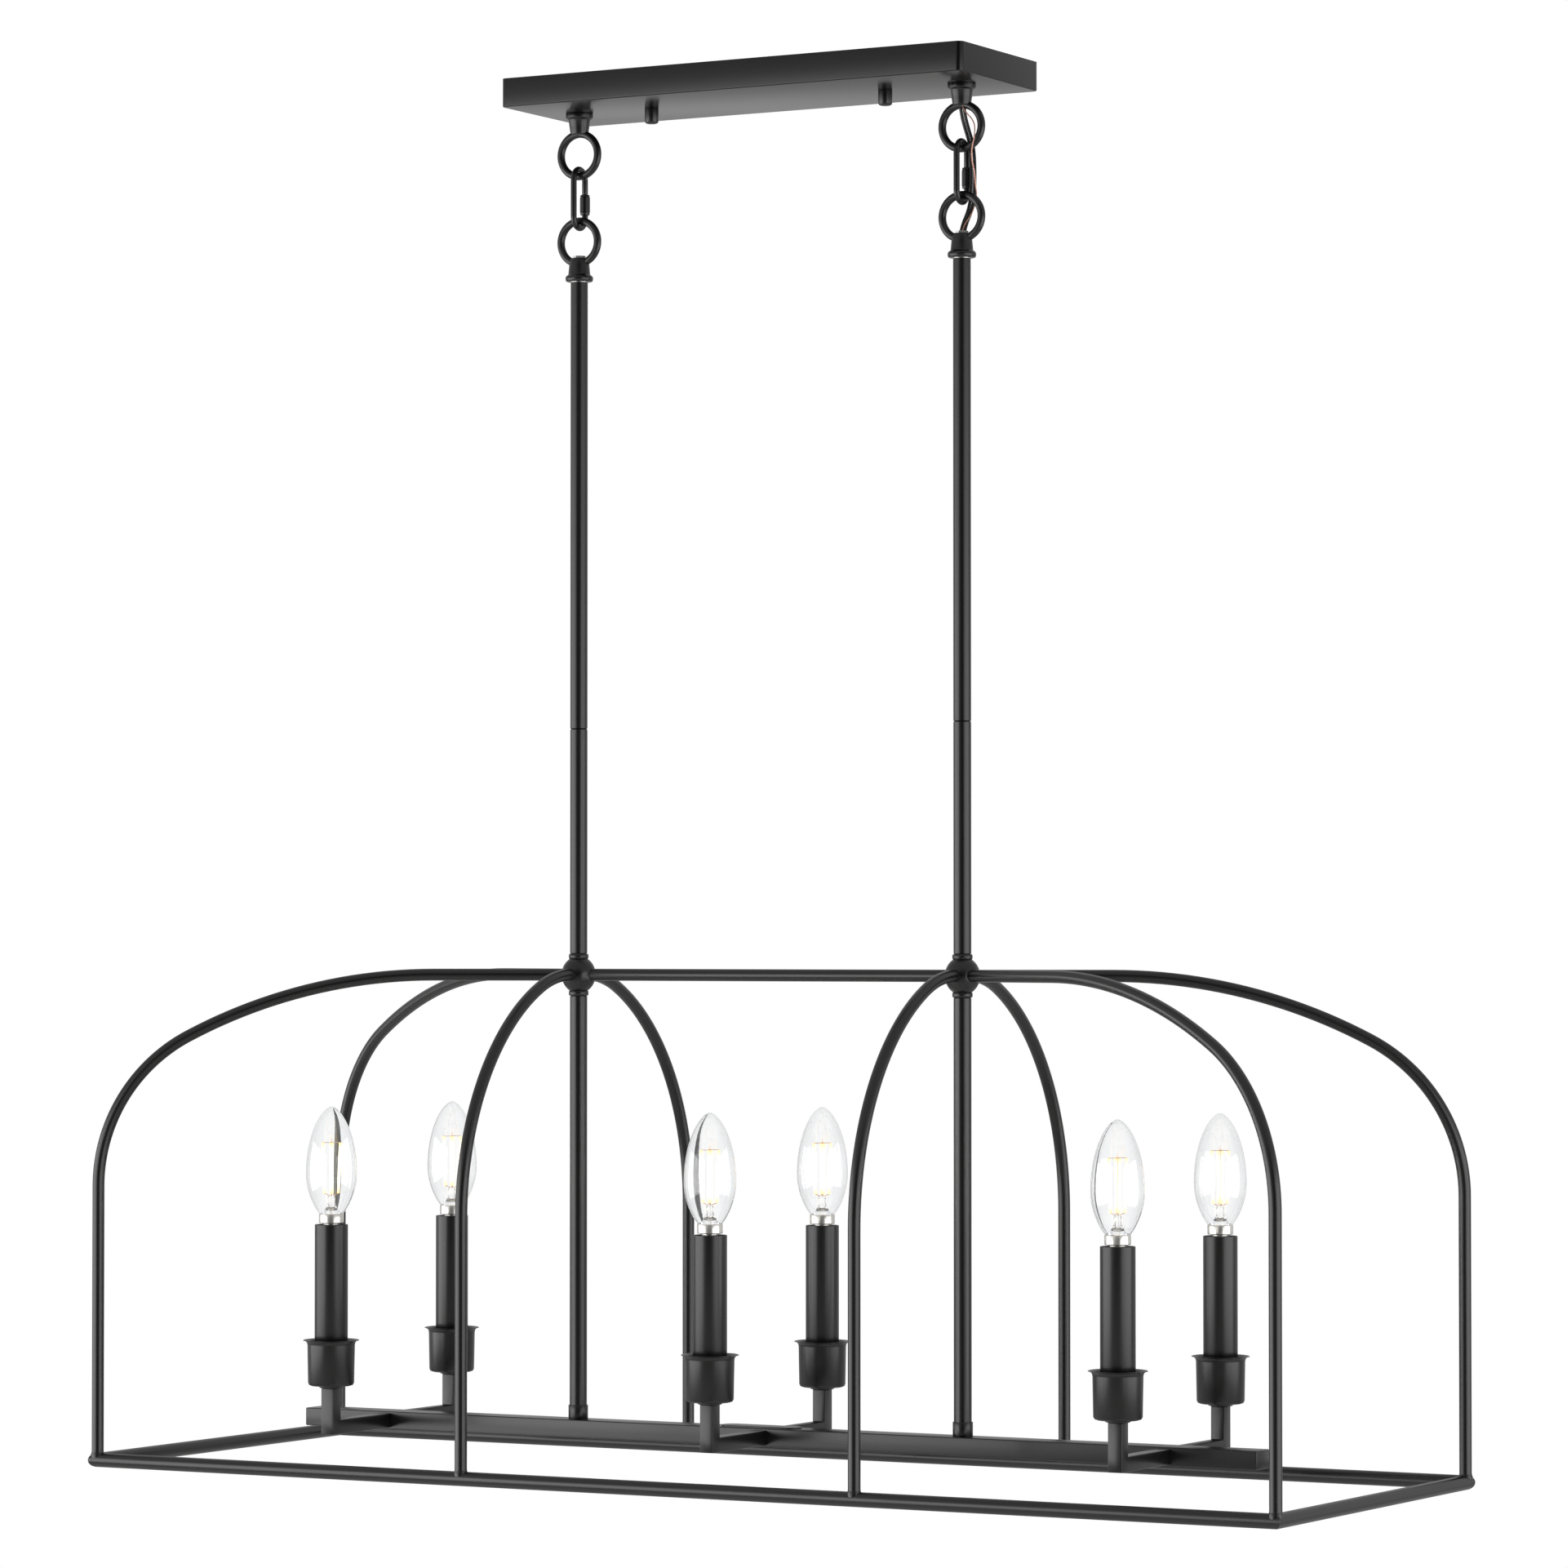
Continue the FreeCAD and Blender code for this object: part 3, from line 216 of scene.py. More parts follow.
def painted(label, bump=0.03, metallic=0.0, **values):
    """A finish whose colour, roughness and bump come from the grain group."""
    finish = bpy.data.materials.new(label)
    finish.use_nodes = True
    nodes, links = finish.node_tree.nodes, finish.node_tree.links
    shader = nodes["Principled BSDF"]
    shader.inputs["Metallic"].default_value = metallic
    grain = nodes.new("ShaderNodeGroup")
    grain.node_tree = bpy.data.node_groups.get("powder_grain") or grain_group()
    for word, value in values.items():
        grain.inputs[word].default_value = value
    relief = nodes.new("ShaderNodeBump")
    relief.inputs["Strength"].default_value = bump
    relief.inputs["Distance"].default_value = 0.0001
    links.new(grain.outputs["Height"], relief.inputs["Height"])
    links.new(grain.outputs["Color"], shader.inputs["Base Color"])
    links.new(grain.outputs["Roughness"], shader.inputs["Roughness"])
    links.new(relief.outputs["Normal"], shader.inputs["Normal"])
    return finish


def pick(piece, test, mode="FACE"):
    """Selects the faces, edges or corners of a piece that pass a test, in edit mode."""
    bpy.ops.mesh.select_mode(type=mode)
    bpy.ops.mesh.select_all(action="DESELECT")
    bpy.ops.object.mode_set(mode="OBJECT")
    mesh = piece.data
    for part in {"FACE": mesh.polygons, "EDGE": mesh.edges, "VERT": mesh.vertices}[mode]:
        part.select = test(part)
    bpy.ops.object.mode_set(mode="EDIT")


def new_block(label, low, high):
    """A cube stretched between two corners, left in edit mode with all of it selected."""
    bpy.ops.object.select_all(action="DESELECT")
    bpy.ops.mesh.primitive_cube_add(size=1)
    piece = bpy.context.active_object
    piece.name = label
    piece.scale = [b - a for a, b in zip(low, high)]
    piece.location = [(a + b) / 2 for a, b in zip(low, high)]
    bpy.ops.object.transform_apply(location=True, rotation=True, scale=True)
    bpy.ops.object.mode_set(mode="EDIT")
    bpy.ops.mesh.select_all(action="SELECT")
    return piece


def give_wall(piece, thickness):
    """Thickens an open shell inwards to a wall."""
    wall = piece.modifiers.new("wall", "SOLIDIFY")
    wall.thickness = thickness
    wall.offset = -1
    bpy.ops.object.modifier_apply(modifier="wall")


def fit(piece, finish, slot, body, *nodes):
    """Closes the work on a piece: normals, smooth shading, finish, body and the nodes it stands for."""
    bpy.ops.object.select_all(action="DESELECT")
    piece.select_set(True)
    bpy.context.view_layer.objects.active = piece
    bpy.ops.object.mode_set(mode="EDIT")
    bpy.ops.mesh.select_all(action="SELECT")
    bpy.ops.mesh.normals_make_consistent(inside=False)
    bpy.ops.object.mode_set(mode="OBJECT")
    bpy.ops.object.shade_smooth_by_angle(angle=math.radians(34))
    piece.data.materials.clear()
    piece.data.materials.append(finish)
    if nodes:
        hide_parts(*nodes)
    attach(piece, body)


black_coat = painted("black_coat")
canopy_coat = painted("canopy_coat", Smooth=0.17, Rough=0.25)
canopy_coat.node_tree.nodes["Principled BSDF"].inputs["IOR"].default_value = 1.4

canopy_low, canopy_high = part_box("canopy")
underside = canopy_low.z
pan_corner, pan_lip, pan_sheet = 0.004, 0.0009, 0.0012
pan = new_block("canopy_pan", canopy_low, canopy_high)


def heights(edge):
    """The heights of the two ends of one of the pan's edges."""
    return [pan.data.vertices[end].co.z for end in edge.vertices]


pick(pan, lambda edge: max(heights(edge)) - min(heights(edge)) > 0.01, "EDGE")
bpy.ops.mesh.bevel(offset=pan_corner, segments=8, affect="EDGES")
pick(pan, lambda edge: max(heights(edge)) < underside + 0.0001, "EDGE")
bpy.ops.mesh.bevel(offset=pan_lip, segments=4, affect="EDGES")
pick(pan, lambda face: face.normal.z > 0.9 and face.area > 0.01)
bpy.ops.mesh.delete(type="FACE")
bpy.ops.object.mode_set(mode="OBJECT")
give_wall(pan, pan_sheet)
fit(pan, canopy_coat, "black_steel", "canopy_body", "canopy")


# ---- Inside the canopy: the zinc-plated crossbar that screws to the ceiling box, its studs,
# the earth screw and the nuts that hold the loops. They stay as the model has them.
def dress(node, finish):
    """Gives a piece that stays as the model has it its finish."""
    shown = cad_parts[node]
    shown.data.materials.clear()
    shown.data.materials.append(finish)


zinc = painted("zinc_plate", bump=0.05, metallic=1.0, Grain=900.0, Dark=(0.60, 0.60, 0.58, 1),
               Light=(0.75, 0.75, 0.73, 1), Smooth=0.28, Rough=0.42)
for node in ("mounting_crossbar", "crossbar_studs", "loop_lock_nuts", "stem_couplers", "ground_screw"):
    dress(node, zinc)


# ---- Cap nuts: two plain round blind nuts, 9.2 mm across, screwed up on the studs against the canopy.
# Turned steel with a domed end, powder coated with the canopy.
def turned(label, rings, base, x=0.0, y=0.0, sides=48):
    """A turned piece: a circle carried up its axis from ring to ring of (radius, height over its base)."""
    bpy.ops.object.select_all(action="DESELECT")
    bpy.ops.mesh.primitive_circle_add(vertices=sides, radius=rings[0][0], fill_type="NOTHING",
                                      location=(x, y, base + rings[0][1]))
    piece = bpy.context.active_object
    piece.name = label
    bpy.ops.object.transform_apply(location=True)
    bpy.ops.object.mode_set(mode="EDIT")
    bpy.ops.mesh.select_mode(type="VERT")
    bpy.ops.mesh.select_all(action="SELECT")
    for (radius, height), (wider, higher) in zip(rings, rings[1:]):
        bpy.ops.mesh.extrude_region_move(TRANSFORM_OT_translate={"value": (0, 0, higher - height)})
        bpy.ops.transform.resize(value=(wider / radius, wider / radius, 1), center_override=(x, y, base + higher))
    bpy.ops.mesh.select_all(action="SELECT")
    bpy.ops.mesh.fill_holes(sides=0)
    bpy.ops.object.mode_set(mode="OBJECT")
    return piece


def soften(piece, width, segments=3, angle=32):
    """Rounds the sharp edges of a finished piece."""
    bpy.context.view_layer.objects.active = piece
    bevel = piece.modifiers.new("edges", "BEVEL")
    bevel.width = width
    bevel.segments = segments
    bevel.limit_method = "ANGLE"
    bevel.angle_limit = math.radians(angle)
    bevel.use_clamp_overlap = True
    bpy.ops.object.modifier_apply(modifier="edges")


def another(piece, label, move=(0, 0, 0), turn=0.0):
    """A copy of a piece with its own mesh, turned about the upright axis of the fixture and then moved."""
    twin = piece.copy()
    twin.data = piece.data.copy()
    twin.name = label
    bpy.context.scene.collection.objects.link(twin)
    twin.data.transform(Matrix.Translation(move) @ Matrix.Rotation(turn, 4, "Z"))
    return twin


nut_x, nut_radius = 0.088, 0.0046
nut = turned("cap_nut_left", [
    (nut_radius, 0), (nut_radius, -0.0086), (nut_radius - 0.0004, -0.0096), (0.0030, -0.0101), (0.0012, -0.0103),
], underside, x=-nut_x, sides=40)
soften(nut, 0.0002, 2)
for piece in (nut, another(nut, "cap_nut_right", (2 * nut_x, 0, 0))):
    fit(piece, black_coat, "black_steel", "canopy_body", "cap_nuts")


# ---- Cast loops: a flange and cone under the canopy, a ring below them; and on each stem a boss
# with a bead at its foot and the same ring on top. Zinc castings with soft corners, powder coated.
# A turn of bare thread shows between each boss and its stem.
hang_x = 0.144
ring_radius, ring_rod = 0.0142, 0.00255
upper_ring, lower_ring = underside - 0.0275, -0.1048
boss_foot = lower_ring - 0.0265


def cast_loop(label, rings, base, ring_height):
    """A turned boss with a standing ring, joined as one casting, on the left-hand stem's axis."""
    boss = turned(label, rings, base, x=-hang_x, sides=56)
    soften(boss, 0.0004, 3)
    bpy.ops.object.select_all(action="DESELECT")
    bpy.ops.mesh.primitive_torus_add(major_radius=ring_radius, minor_radius=ring_rod, major_segments=72,
                                     minor_segments=24, location=(-hang_x, 0, ring_height),
                                     rotation=(math.pi / 2, 0, 0))
    ring = bpy.context.active_object
    bpy.ops.object.transform_apply(location=True, rotation=True)
    join = boss.modifiers.new("ring", "BOOLEAN")
    join.operation = "UNION"
    join.object = ring
    bpy.context.view_layer.objects.active = boss
    bpy.ops.object.modifier_apply(modifier="ring")
    bpy.data.objects.remove(ring)
    return boss


def on_both_sides(piece):
    """A piece of the left-hand stem and its copy on the right-hand one, each with its side."""
    return ("left", piece), ("right", another(piece, piece.name.replace("left", "right"), (2 * hang_x, 0, 0)))


canopy_loop = cast_loop("canopy_loop_left_cast", [
    (0.0090, 0), (0.00915, -0.0003), (0.00915, -0.0026), (0.0086, -0.0032), (0.0077, -0.0035),
    (0.0073, -0.0041), (0.0066, -0.0090), (0.0061, -0.0125), (0.0059, -0.0136), (0.0050, -0.0140),
], underside, upper_ring)
for side, loop in on_both_sides(canopy_loop):
    fit(loop, black_coat, "black_steel", "canopy_body", f"canopy_loop_{side}")

stem_loop = cast_loop("stem_loop_left_cast", [
    (0.0080, 0), (0.0086, 0.0001), (0.0091, 0.0008), (0.0093, 0.0019), (0.0092, 0.0030), (0.0086, 0.0039),
    (0.0075, 0.0045), (0.0073, 0.0053), (0.0068, 0.0108), (0.0063, 0.0147), (0.0060, 0.0155), (0.0055, 0.0157),
], boss_foot, lower_ring)
for side, loop in on_both_sides(stem_loop):
    fit(loop, black_coat, "black_steel", "fixture_body", f"stem_loop_{side}")

stem_thread = turned("stem_thread_left", [
    (0.0058, -0.0006), (0.0061, -0.0005), (0.0061, -0.0001), (0.0058, 0),
], boss_foot, x=-hang_x)
for side, thread in on_both_sides(stem_thread):
    fit(thread, zinc, "zinc_steel", "fixture_body")


# ---- Screw links: 4 mm steel rod bent to a long oval, open on its back leg.
# A stepped sleeve nut runs on the leg's thread and closes the gap.
def bent_rod(label, start, along, radius, moves, sides=32):
    """A round rod: a circle carried along straight runs and round bends, closed at both ends.

    A move is a run's vector, or a bend as (angle, centre, axis, steps) by the right-hand rule,
    whose sign the spin tool has the other way round.
    """
    bpy.ops.object.select_all(action="DESELECT")
    facing = Vector(along).to_track_quat("Z", "Y").to_euler()
    bpy.ops.mesh.primitive_circle_add(vertices=sides, radius=radius, fill_type="NOTHING", location=start,
                                      rotation=facing)
    rod = bpy.context.active_object
    rod.name = label
    bpy.ops.object.transform_apply(location=True, rotation=True)
    bpy.ops.object.mode_set(mode="EDIT")
    bpy.ops.mesh.select_mode(type="VERT")
    bpy.ops.mesh.select_all(action="SELECT")
    for move in moves:
        if len(move) == 3:
            bpy.ops.mesh.extrude_region_move(TRANSFORM_OT_translate={"value": move})
        else:
            angle, centre, axis, steps = move
            bpy.ops.mesh.spin(steps=steps, angle=-angle, center=centre, axis=axis, dupli=False)
    bpy.ops.mesh.select_all(action="SELECT")
    bpy.ops.mesh.fill_holes(sides=0)
    bpy.ops.object.mode_set(mode="OBJECT")
    return rod


link_middle = (upper_ring + lower_ring) / 2
link_rod, link_leg, link_half = 0.002, 0.00725, 0.0124
gap_top, gap_foot = 0.0015, 0.0055
screw_link = bent_rod("screw_link_left", (-hang_x, link_leg, link_middle - gap_top), (0, 0, 1), link_rod, [
    (0, 0, link_half + gap_top),
    (math.pi, (-hang_x, 0, link_middle + link_half), (1, 0, 0), 28),
    (0, 0, -2 * link_half),
    (math.pi, (-hang_x, 0, link_middle - link_half), (1, 0, 0), 28),
    (0, 0, link_half - gap_foot),
], sides=28)
soften(screw_link, 0.0003, 2, 60)
for side, link in on_both_sides(screw_link):
    fit(link, black_coat, "black_steel", f"link_{side}_body", f"quick_link_{side}")

nut_foot, nut_length = link_middle - 0.01025, 0.0135
nut_bore, nut_end, nut_neck, nut_grip = 0.00208, 0.0029, 0.00315, 0.0034
sleeve_nut = turned("sleeve_nut_left", [
    (nut_bore, 0), (nut_end, 0), (nut_neck, 0.0004), (nut_neck, 0.0016), (nut_grip, 0.0019),
    (nut_grip, nut_length - 0.0019), (nut_neck, nut_length - 0.0016), (nut_neck, nut_length - 0.0004),
    (nut_end, nut_length), (nut_bore, nut_length),
], nut_foot, x=-hang_x, y=link_leg)
for side, nut in on_both_sides(sleeve_nut):
    fit(nut, black_coat, "black_steel", f"sleeve_{side}_body", f"link_sleeve_nut_{side}")


# ---- Supply cord and earth wire: two black 2.2 mm leads side by side and a bare copper earth, let down
# through the right-hand loop, past the link and into the stem. Each is two pieces that meet beside the link.
def wire_along(label, points, radius, finish, node):
    """A wire on the smooth line through a route, with its real length.

    The route's points are the control points of a spline; its path is read before it gets its thickness.
    """
    curve = bpy.data.curves.new(label, "CURVE")
    curve.dimensions = "3D"
    curve.resolution_u = 16
    spline = curve.splines.new("NURBS")
    spline.points.add(len(points) - 1)
    for knot, point in zip(spline.points, points):
        knot.co = (*point, 1)
    spline.order_u = 3
    spline.use_endpoint_u = True
    line = bpy.data.objects.new(label, curve)
    bpy.context.scene.collection.objects.link(line)
    path = [v.co.copy() for v in bpy.data.meshes.new_from_object(line).vertices]
    curve.bevel_depth = radius
    curve.bevel_resolution = 4
    curve.use_fill_caps = True
    bpy.ops.object.select_all(action="DESELECT")
    line.select_set(True)
    bpy.context.view_layer.objects.active = line
    bpy.ops.object.convert(target="MESH")
    wire = bpy.context.active_object
    for face in wire.data.polygons:
        face.use_smooth = True
    wire.data.materials.clear()
    wire.data.materials.append(finish)
    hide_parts(node)
    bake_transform(wire)


lead_rubber = painted("lead_rubber", bump=0.02, Grain=500.0, Dark=(0.006, 0.006, 0.006, 1),
                      Light=(0.010, 0.010, 0.010, 1), Smooth=0.24, Rough=0.32)
copper = painted("bare_copper", bump=0.1, metallic=1.0, Grain=700.0, Dark=(0.22, 0.10, 0.08, 1),
                 Light=(0.78, 0.44, 0.34, 1), Smooth=0.22, Rough=0.38)

lead_radius, earth_radius = 0.0011, 0.0004
lead_above = [(0, 0, -0.029), (0.0002, 0.0006, -0.037), (0.0014, 0.0042, -0.0475), (0.0054, 0.0050, -0.0600),
              (0.0058, 0.0046, -0.0754)]
lead_below = [(0.0058, 0.0046, -0.0754), (0.0058, 0.0046, -0.0890), (0.0040, 0.0046, -0.1000),
              (0.0006, 0.0010, -0.1110), (0, 0, -0.1181)]
earth_above = [(0.0005, -0.0016, -0.029), (0.0020, -0.0022, -0.036), (0.0110, -0.0036, -0.044),
               (0.0120, -0.0047, -0.0525), (0.0096, -0.0045, -0.0610), (0.0080, -0.0020, -0.0685),
               (0.0088, 0.0005, -0.0754)]
earth_below = [(0.0088, 0.0005, -0.0754), (0.0084, 0.0030, -0.0840), (0.0086, 0.0046, -0.0930),
               (0.0060, 0.0026, -0.1030), (0.0012, -0.0008, -0.1110), (0.0006, -0.0021, -0.1181)]
upper_bend = (hang_x, 0, -0.044), (hang_x, 0, -0.0735)
lower_bend = (hang_x, 0, -0.0775), (hang_x, 0, -0.108)
for half, bodies, bend, leads, earth in (
    ("upper", ("canopy_body", "link_right_body"), upper_bend, lead_above, earth_above),
    ("lower", ("link_right_body", "fixture_body"), lower_bend, lead_below, earth_below),
):
    for number, aside in ((1, -1), (2, 1)):
        points = [(hang_x + px + 0.0010 * aside, py + 0.00056 * aside, pz) for px, py, pz in leads]
        wire_along(f"supply_lead_{half}_{number}", points, lead_radius, lead_rubber,
                   f"supply_leads_{half}")
    points = [(hang_x + px, py, pz) for px, py, pz in earth]
    wire_along(f"earth_wire_{half}", points, earth_radius, copper, f"ground_wire_{half}")


# ---- Hubs: a 22.8 mm ball drilled for five rods, with a small flat above and below,
# between two thin rounded collars. The stem's nipple runs through all three.
hub_height = -0.5937
ball_radius, ball_half, ball_stretch = 0.0114, 0.0105, 1.09
collar_bore, collar_radius, collar_depth = 0.0046, 0.0066, 0.0034
bpy.ops.object.select_all(action="DESELECT")
bpy.ops.mesh.primitive_uv_sphere_add(segments=64, ring_count=40, radius=ball_radius,
                                     location=(-hang_x, 0, hub_height))
ball = bpy.context.active_object
ball.name = "hub_left"
ball.scale = (1, 1, ball_stretch)
bpy.ops.object.transform_apply(location=True, scale=True)
bpy.ops.object.mode_set(mode="EDIT")
for way in (1, -1):
    bpy.ops.mesh.select_all(action="SELECT")
    bpy.ops.mesh.bisect(plane_co=(-hang_x, 0, hub_height + way * ball_half), plane_no=(0, 0, way),
                        use_fill=True, clear_outer=True)
bpy.ops.object.mode_set(mode="OBJECT")
for side, hub in on_both_sides(ball):
    fit(hub, black_coat, "black_steel", "fixture_body", f"hub_ball_{side}")
for end, foot in (("top", hub_height + ball_half), ("bottom", hub_height - ball_half - collar_depth)):
    hub_collar = turned(f"hub_collar_left_{end}", [
        (collar_bore, 0), (collar_radius - 0.0005, 0), (collar_radius - 0.0001, 0.0005),
        (collar_radius, 0.5 * collar_depth), (collar_radius - 0.0001, collar_depth - 0.0005),
        (collar_radius - 0.0005, collar_depth), (collar_bore, collar_depth),
    ], foot, x=-hang_x, sides=56)
    for side, collar in on_both_sides(hub_collar):
        fit(collar, black_coat, "black_steel", "fixture_body", "hub_collars")


# ---- Stems: on each side three steel tubes, 11.5 mm across, screwed together end to end
# over hidden nipples. Only the joint between the upper two shows, as a fine groove.
stem_radius, stem_bore, stem_chamfer = 0.00575, 0.00462, 0.0005
stem_top, stem_foot, upper_stem_length = boss_foot + 0.0060, -0.8886, 0.3048
stem_joint = stem_top - upper_stem_length
for label, low, high in (
    ("upper", stem_joint, stem_top),
    ("middle", hub_height + ball_half + collar_depth, stem_joint),
    ("lower", stem_foot, hub_height - ball_half - collar_depth),
):
    tube = turned(f"{label}_stem_left_tube", [
        (stem_bore, 0), (stem_radius - 0.00055, 0), (stem_radius, stem_chamfer),
        (stem_radius, high - low - stem_chamfer), (stem_radius - 0.00055, high - low), (stem_bore, high - low),
    ], low, x=-hang_x)
    for side, stem in on_both_sides(tube):
        fit(stem, black_coat, "black_steel", "fixture_body", f"{label}_stem_{side}")


# ---- Bottom frame: four 9.4 mm steel rods, mitred and welded at the corners.
# Each is cut at 45 degrees on both ends, and the like ones lie opposite each other.
frame_x, frame_y, frame_height = 0.43, 0.1457, -0.917
rail_radius, saw_waste = 0.0047, 0.03
for label, opposite, length, place, turn in (
    ("front", "back", 2 * frame_x, (0, -frame_y, frame_height), 0.0),
    ("left", "right", 2 * frame_y, (-frame_x, 0, frame_height), -math.pi / 2),
):
    bpy.ops.object.select_all(action="DESELECT")
    bpy.ops.mesh.primitive_cylinder_add(vertices=36, radius=rail_radius, depth=length + saw_waste,
                                        end_fill_type="NGON", rotation=(0, math.pi / 2, 0))
    rail = bpy.context.active_object
    rail.name = f"frame_{label}"
    bpy.ops.object.transform_apply(rotation=True)
    bpy.ops.object.mode_set(mode="EDIT")
    for end in (1, -1):
        bpy.ops.mesh.select_all(action="SELECT")
        bpy.ops.mesh.bisect(plane_co=(end * length / 2, 0, 0), plane_no=(end, 1, 0), use_fill=True,
                            clear_outer=True)
    bpy.ops.object.mode_set(mode="OBJECT")
    rail.data.transform(Matrix.Translation(place) @ Matrix.Rotation(turn, 4, "Z"))
    for name, piece in ((label, rail), (opposite, another(rail, f"frame_{opposite}", turn=math.pi))):
        fit(piece, black_coat, "black_steel", "fixture_body", f"rail_{name}")


# ---- Cage rods: 8 mm steel rod. One runs straight between the hubs. Four arch out to the frame's corners
# and four to its long sides, each bent wide at the top and tighter at the shoulder, and welded at the foot.
rod_radius, rod_start, weld_height = 0.004, 0.0092, 0.0062


def cage_arch(run, slope, top_radius, shoulder_radius):
    """A rod out of a hub at the origin along X, over and down to the frame, as a pattern for the others."""
    fall = math.radians(slope)
    between = top_radius * math.tan(fall / 2) + shoulder_radius * math.tan(math.pi / 4 - fall / 2)
    flat_end = run - between * math.cos(fall) - top_radius * math.tan(fall / 2)
    knee_x, knee_z = flat_end + top_radius * math.sin(fall), -top_radius * (1 - math.cos(fall))
    shoulder_x, shoulder_z = knee_x - shoulder_radius * math.sin(fall), knee_z - shoulder_radius * math.cos(fall)
    foot = frame_height - hub_height + weld_height
    rod = bent_rod("arch_pattern", (rod_start, 0, 0), (1, 0, 0), rod_radius, [
        (flat_end - rod_start, 0, 0),
        (fall, (flat_end, 0, -top_radius), (0, 1, 0), 22),
        (math.pi / 2 - fall, (shoulder_x, 0, shoulder_z), (0, 1, 0), 30),
        (0, 0, foot - shoulder_z),
    ])
    bpy.ops.object.mode_set(mode="EDIT")
    pick(rod, lambda face: abs(face.normal.z) > 0.9 and face.center.z < foot + 0.0005)
    for lower, wider in ((0.0012, 1.03), (0.0010, 1.12)):
        bpy.ops.mesh.extrude_region_move(TRANSFORM_OT_translate={"value": (0, 0, -lower)})
        bpy.ops.transform.resize(value=(wider, wider, 1), center_override=(run, 0, foot))
    bpy.ops.mesh.extrude_region_move(TRANSFORM_OT_translate={"value": (0, 0, -0.0025)})
    bpy.ops.object.mode_set(mode="OBJECT")
    return rod


corner_angle = math.atan2(frame_y, frame_x - hang_x)
corner_pattern = cage_arch(math.hypot(frame_x - hang_x, frame_y), 28, 0.350, 0.113)
side_pattern = cage_arch(frame_y, 24, 0.094, 0.163)
for row, way in (("front", -1), ("back", 1)):
    for side, x, corner_turn in (
        ("left", -hang_x, math.pi - way * corner_angle),
        ("right", hang_x, way * corner_angle),
    ):
        for kind, pattern, turn in (
            ("corner", corner_pattern, corner_turn),
            ("side", side_pattern, way * math.pi / 2),
        ):
            rod = another(pattern, f"{kind}_rod_{row}_{side}", (x, 0, hub_height), turn)
            fit(rod, black_coat, "black_steel", "fixture_body", f"{kind}_arch_{row}_{side}")
for pattern in (corner_pattern, side_pattern):
    bpy.data.objects.remove(pattern)

rod = bent_rod("hub_rod", (rod_start - hang_x, 0, hub_height), (1, 0, 0), rod_radius,
               [(2 * (hang_x - rod_start), 0, 0)])
fit(rod, black_coat, "black_steel", "fixture_body", "centre_rod")


# ---- Lamp bar: a 19 by 12 mm rectangular steel tube, closed at the ends, that hangs from the stems' feet.
# A thin plate with rounded ends covers the wiring slot, and a plain collar stands round each stem.
bar_length, bar_width, bar_depth = 0.710, 0.019, 0.012
bar = new_block("lamp_bar", (-bar_length / 2, -bar_width / 2, stem_foot - bar_depth),
                (bar_length / 2, bar_width / 2, stem_foot))
bpy.ops.object.mode_set(mode="OBJECT")
soften(bar, 0.0007, 3)
fit(bar, black_coat, "black_steel", "fixture_body", "centre_bar")

plate_radius, plate_left, plate_right = 0.0075, -0.0255, 0.0175
plate = turned("slot_plate", [
    (plate_radius - 0.0004, 0), (plate_radius, 0), (plate_radius, 0.0007), (plate_radius - 0.0003, 0.0010),
], stem_foot)
bpy.ops.object.mode_set(mode="EDIT")
for way, stretch in ((-1, plate_left), (1, plate_right)):
    pick(plate, lambda point: 1e-6 < point.co.x * way < 0.01, "VERT")
    bpy.ops.transform.translate(value=(stretch, 0, 0))
bpy.ops.object.mode_set(mode="OBJECT")
fit(plate, black_coat, "black_steel", "fixture_body", "bar_cover")

bar_collar = turned("bar_collar_left", [
    (0.0058, 0), (0.0064, 0), (0.0065, 0.0002), (0.0065, 0.0090), (0.0063, 0.0093), (0.0058, 0.0093),
], stem_foot, x=-hang_x, sides=56)
for side, collar in on_both_sides(bar_collar):
    fit(collar, black_coat, "black_steel", "fixture_body", "bar_collars")


# ---- Arms, cups and sleeves: six 9.6 mm square arms welded to the bar, level and then up.
# Each carries a spun cup with a thin flared rim, and in it a plain tube over the hidden socket.
candle_x, candle_y = 0.291, 0.0748
candles = [(x, y) for y in (-candle_y, candle_y) for x in (-candle_x, 0.0, candle_x)]


def at_each_candle(piece):
    """The piece of candle 1 and its copies at the other candles, each with its candle's number."""
    copies = [another(piece, piece.name.replace("_1", f"_{number}", 1), (x + candle_x, y + candle_y, 0))
              for number, (x, y) in enumerate(candles[1:], start=2)]
    return enumerate([piece] + copies, start=1)


arm_half, arm_top = 0.0048, stem_foot - 0.0012
cup_foot = arm_top + 0.0211
arm = new_block("arm_1", (-candle_x - arm_half, -candle_y - arm_half, arm_top - 2 * arm_half),
                (-candle_x + arm_half, -bar_width / 2, arm_top))
bpy.ops.mesh.bisect(plane_co=(-candle_x, arm_half - candle_y, arm_top), plane_no=(0, 1, 0))
pick(arm, lambda face: face.normal.z > 0.9 and face.center.y < arm_half - candle_y)
bpy.ops.mesh.extrude_region_move(TRANSFORM_OT_translate={"value": (0, 0, cup_foot - arm_top)})
bpy.ops.object.mode_set(mode="OBJECT")
soften(arm, 0.0005, 2)
arms = [arm]
for number, (x, y) in enumerate(candles[1:], start=2):
    start_x, turn = (-candle_x, 0.0) if y < 0 else (candle_x, math.pi)
    arms.append(another(arm, f"arm_{number}", (x - start_x, 0, 0), turn))
for piece in arms:
    fit(piece, black_coat, "black_steel", "fixture_body", "lamp_arms")

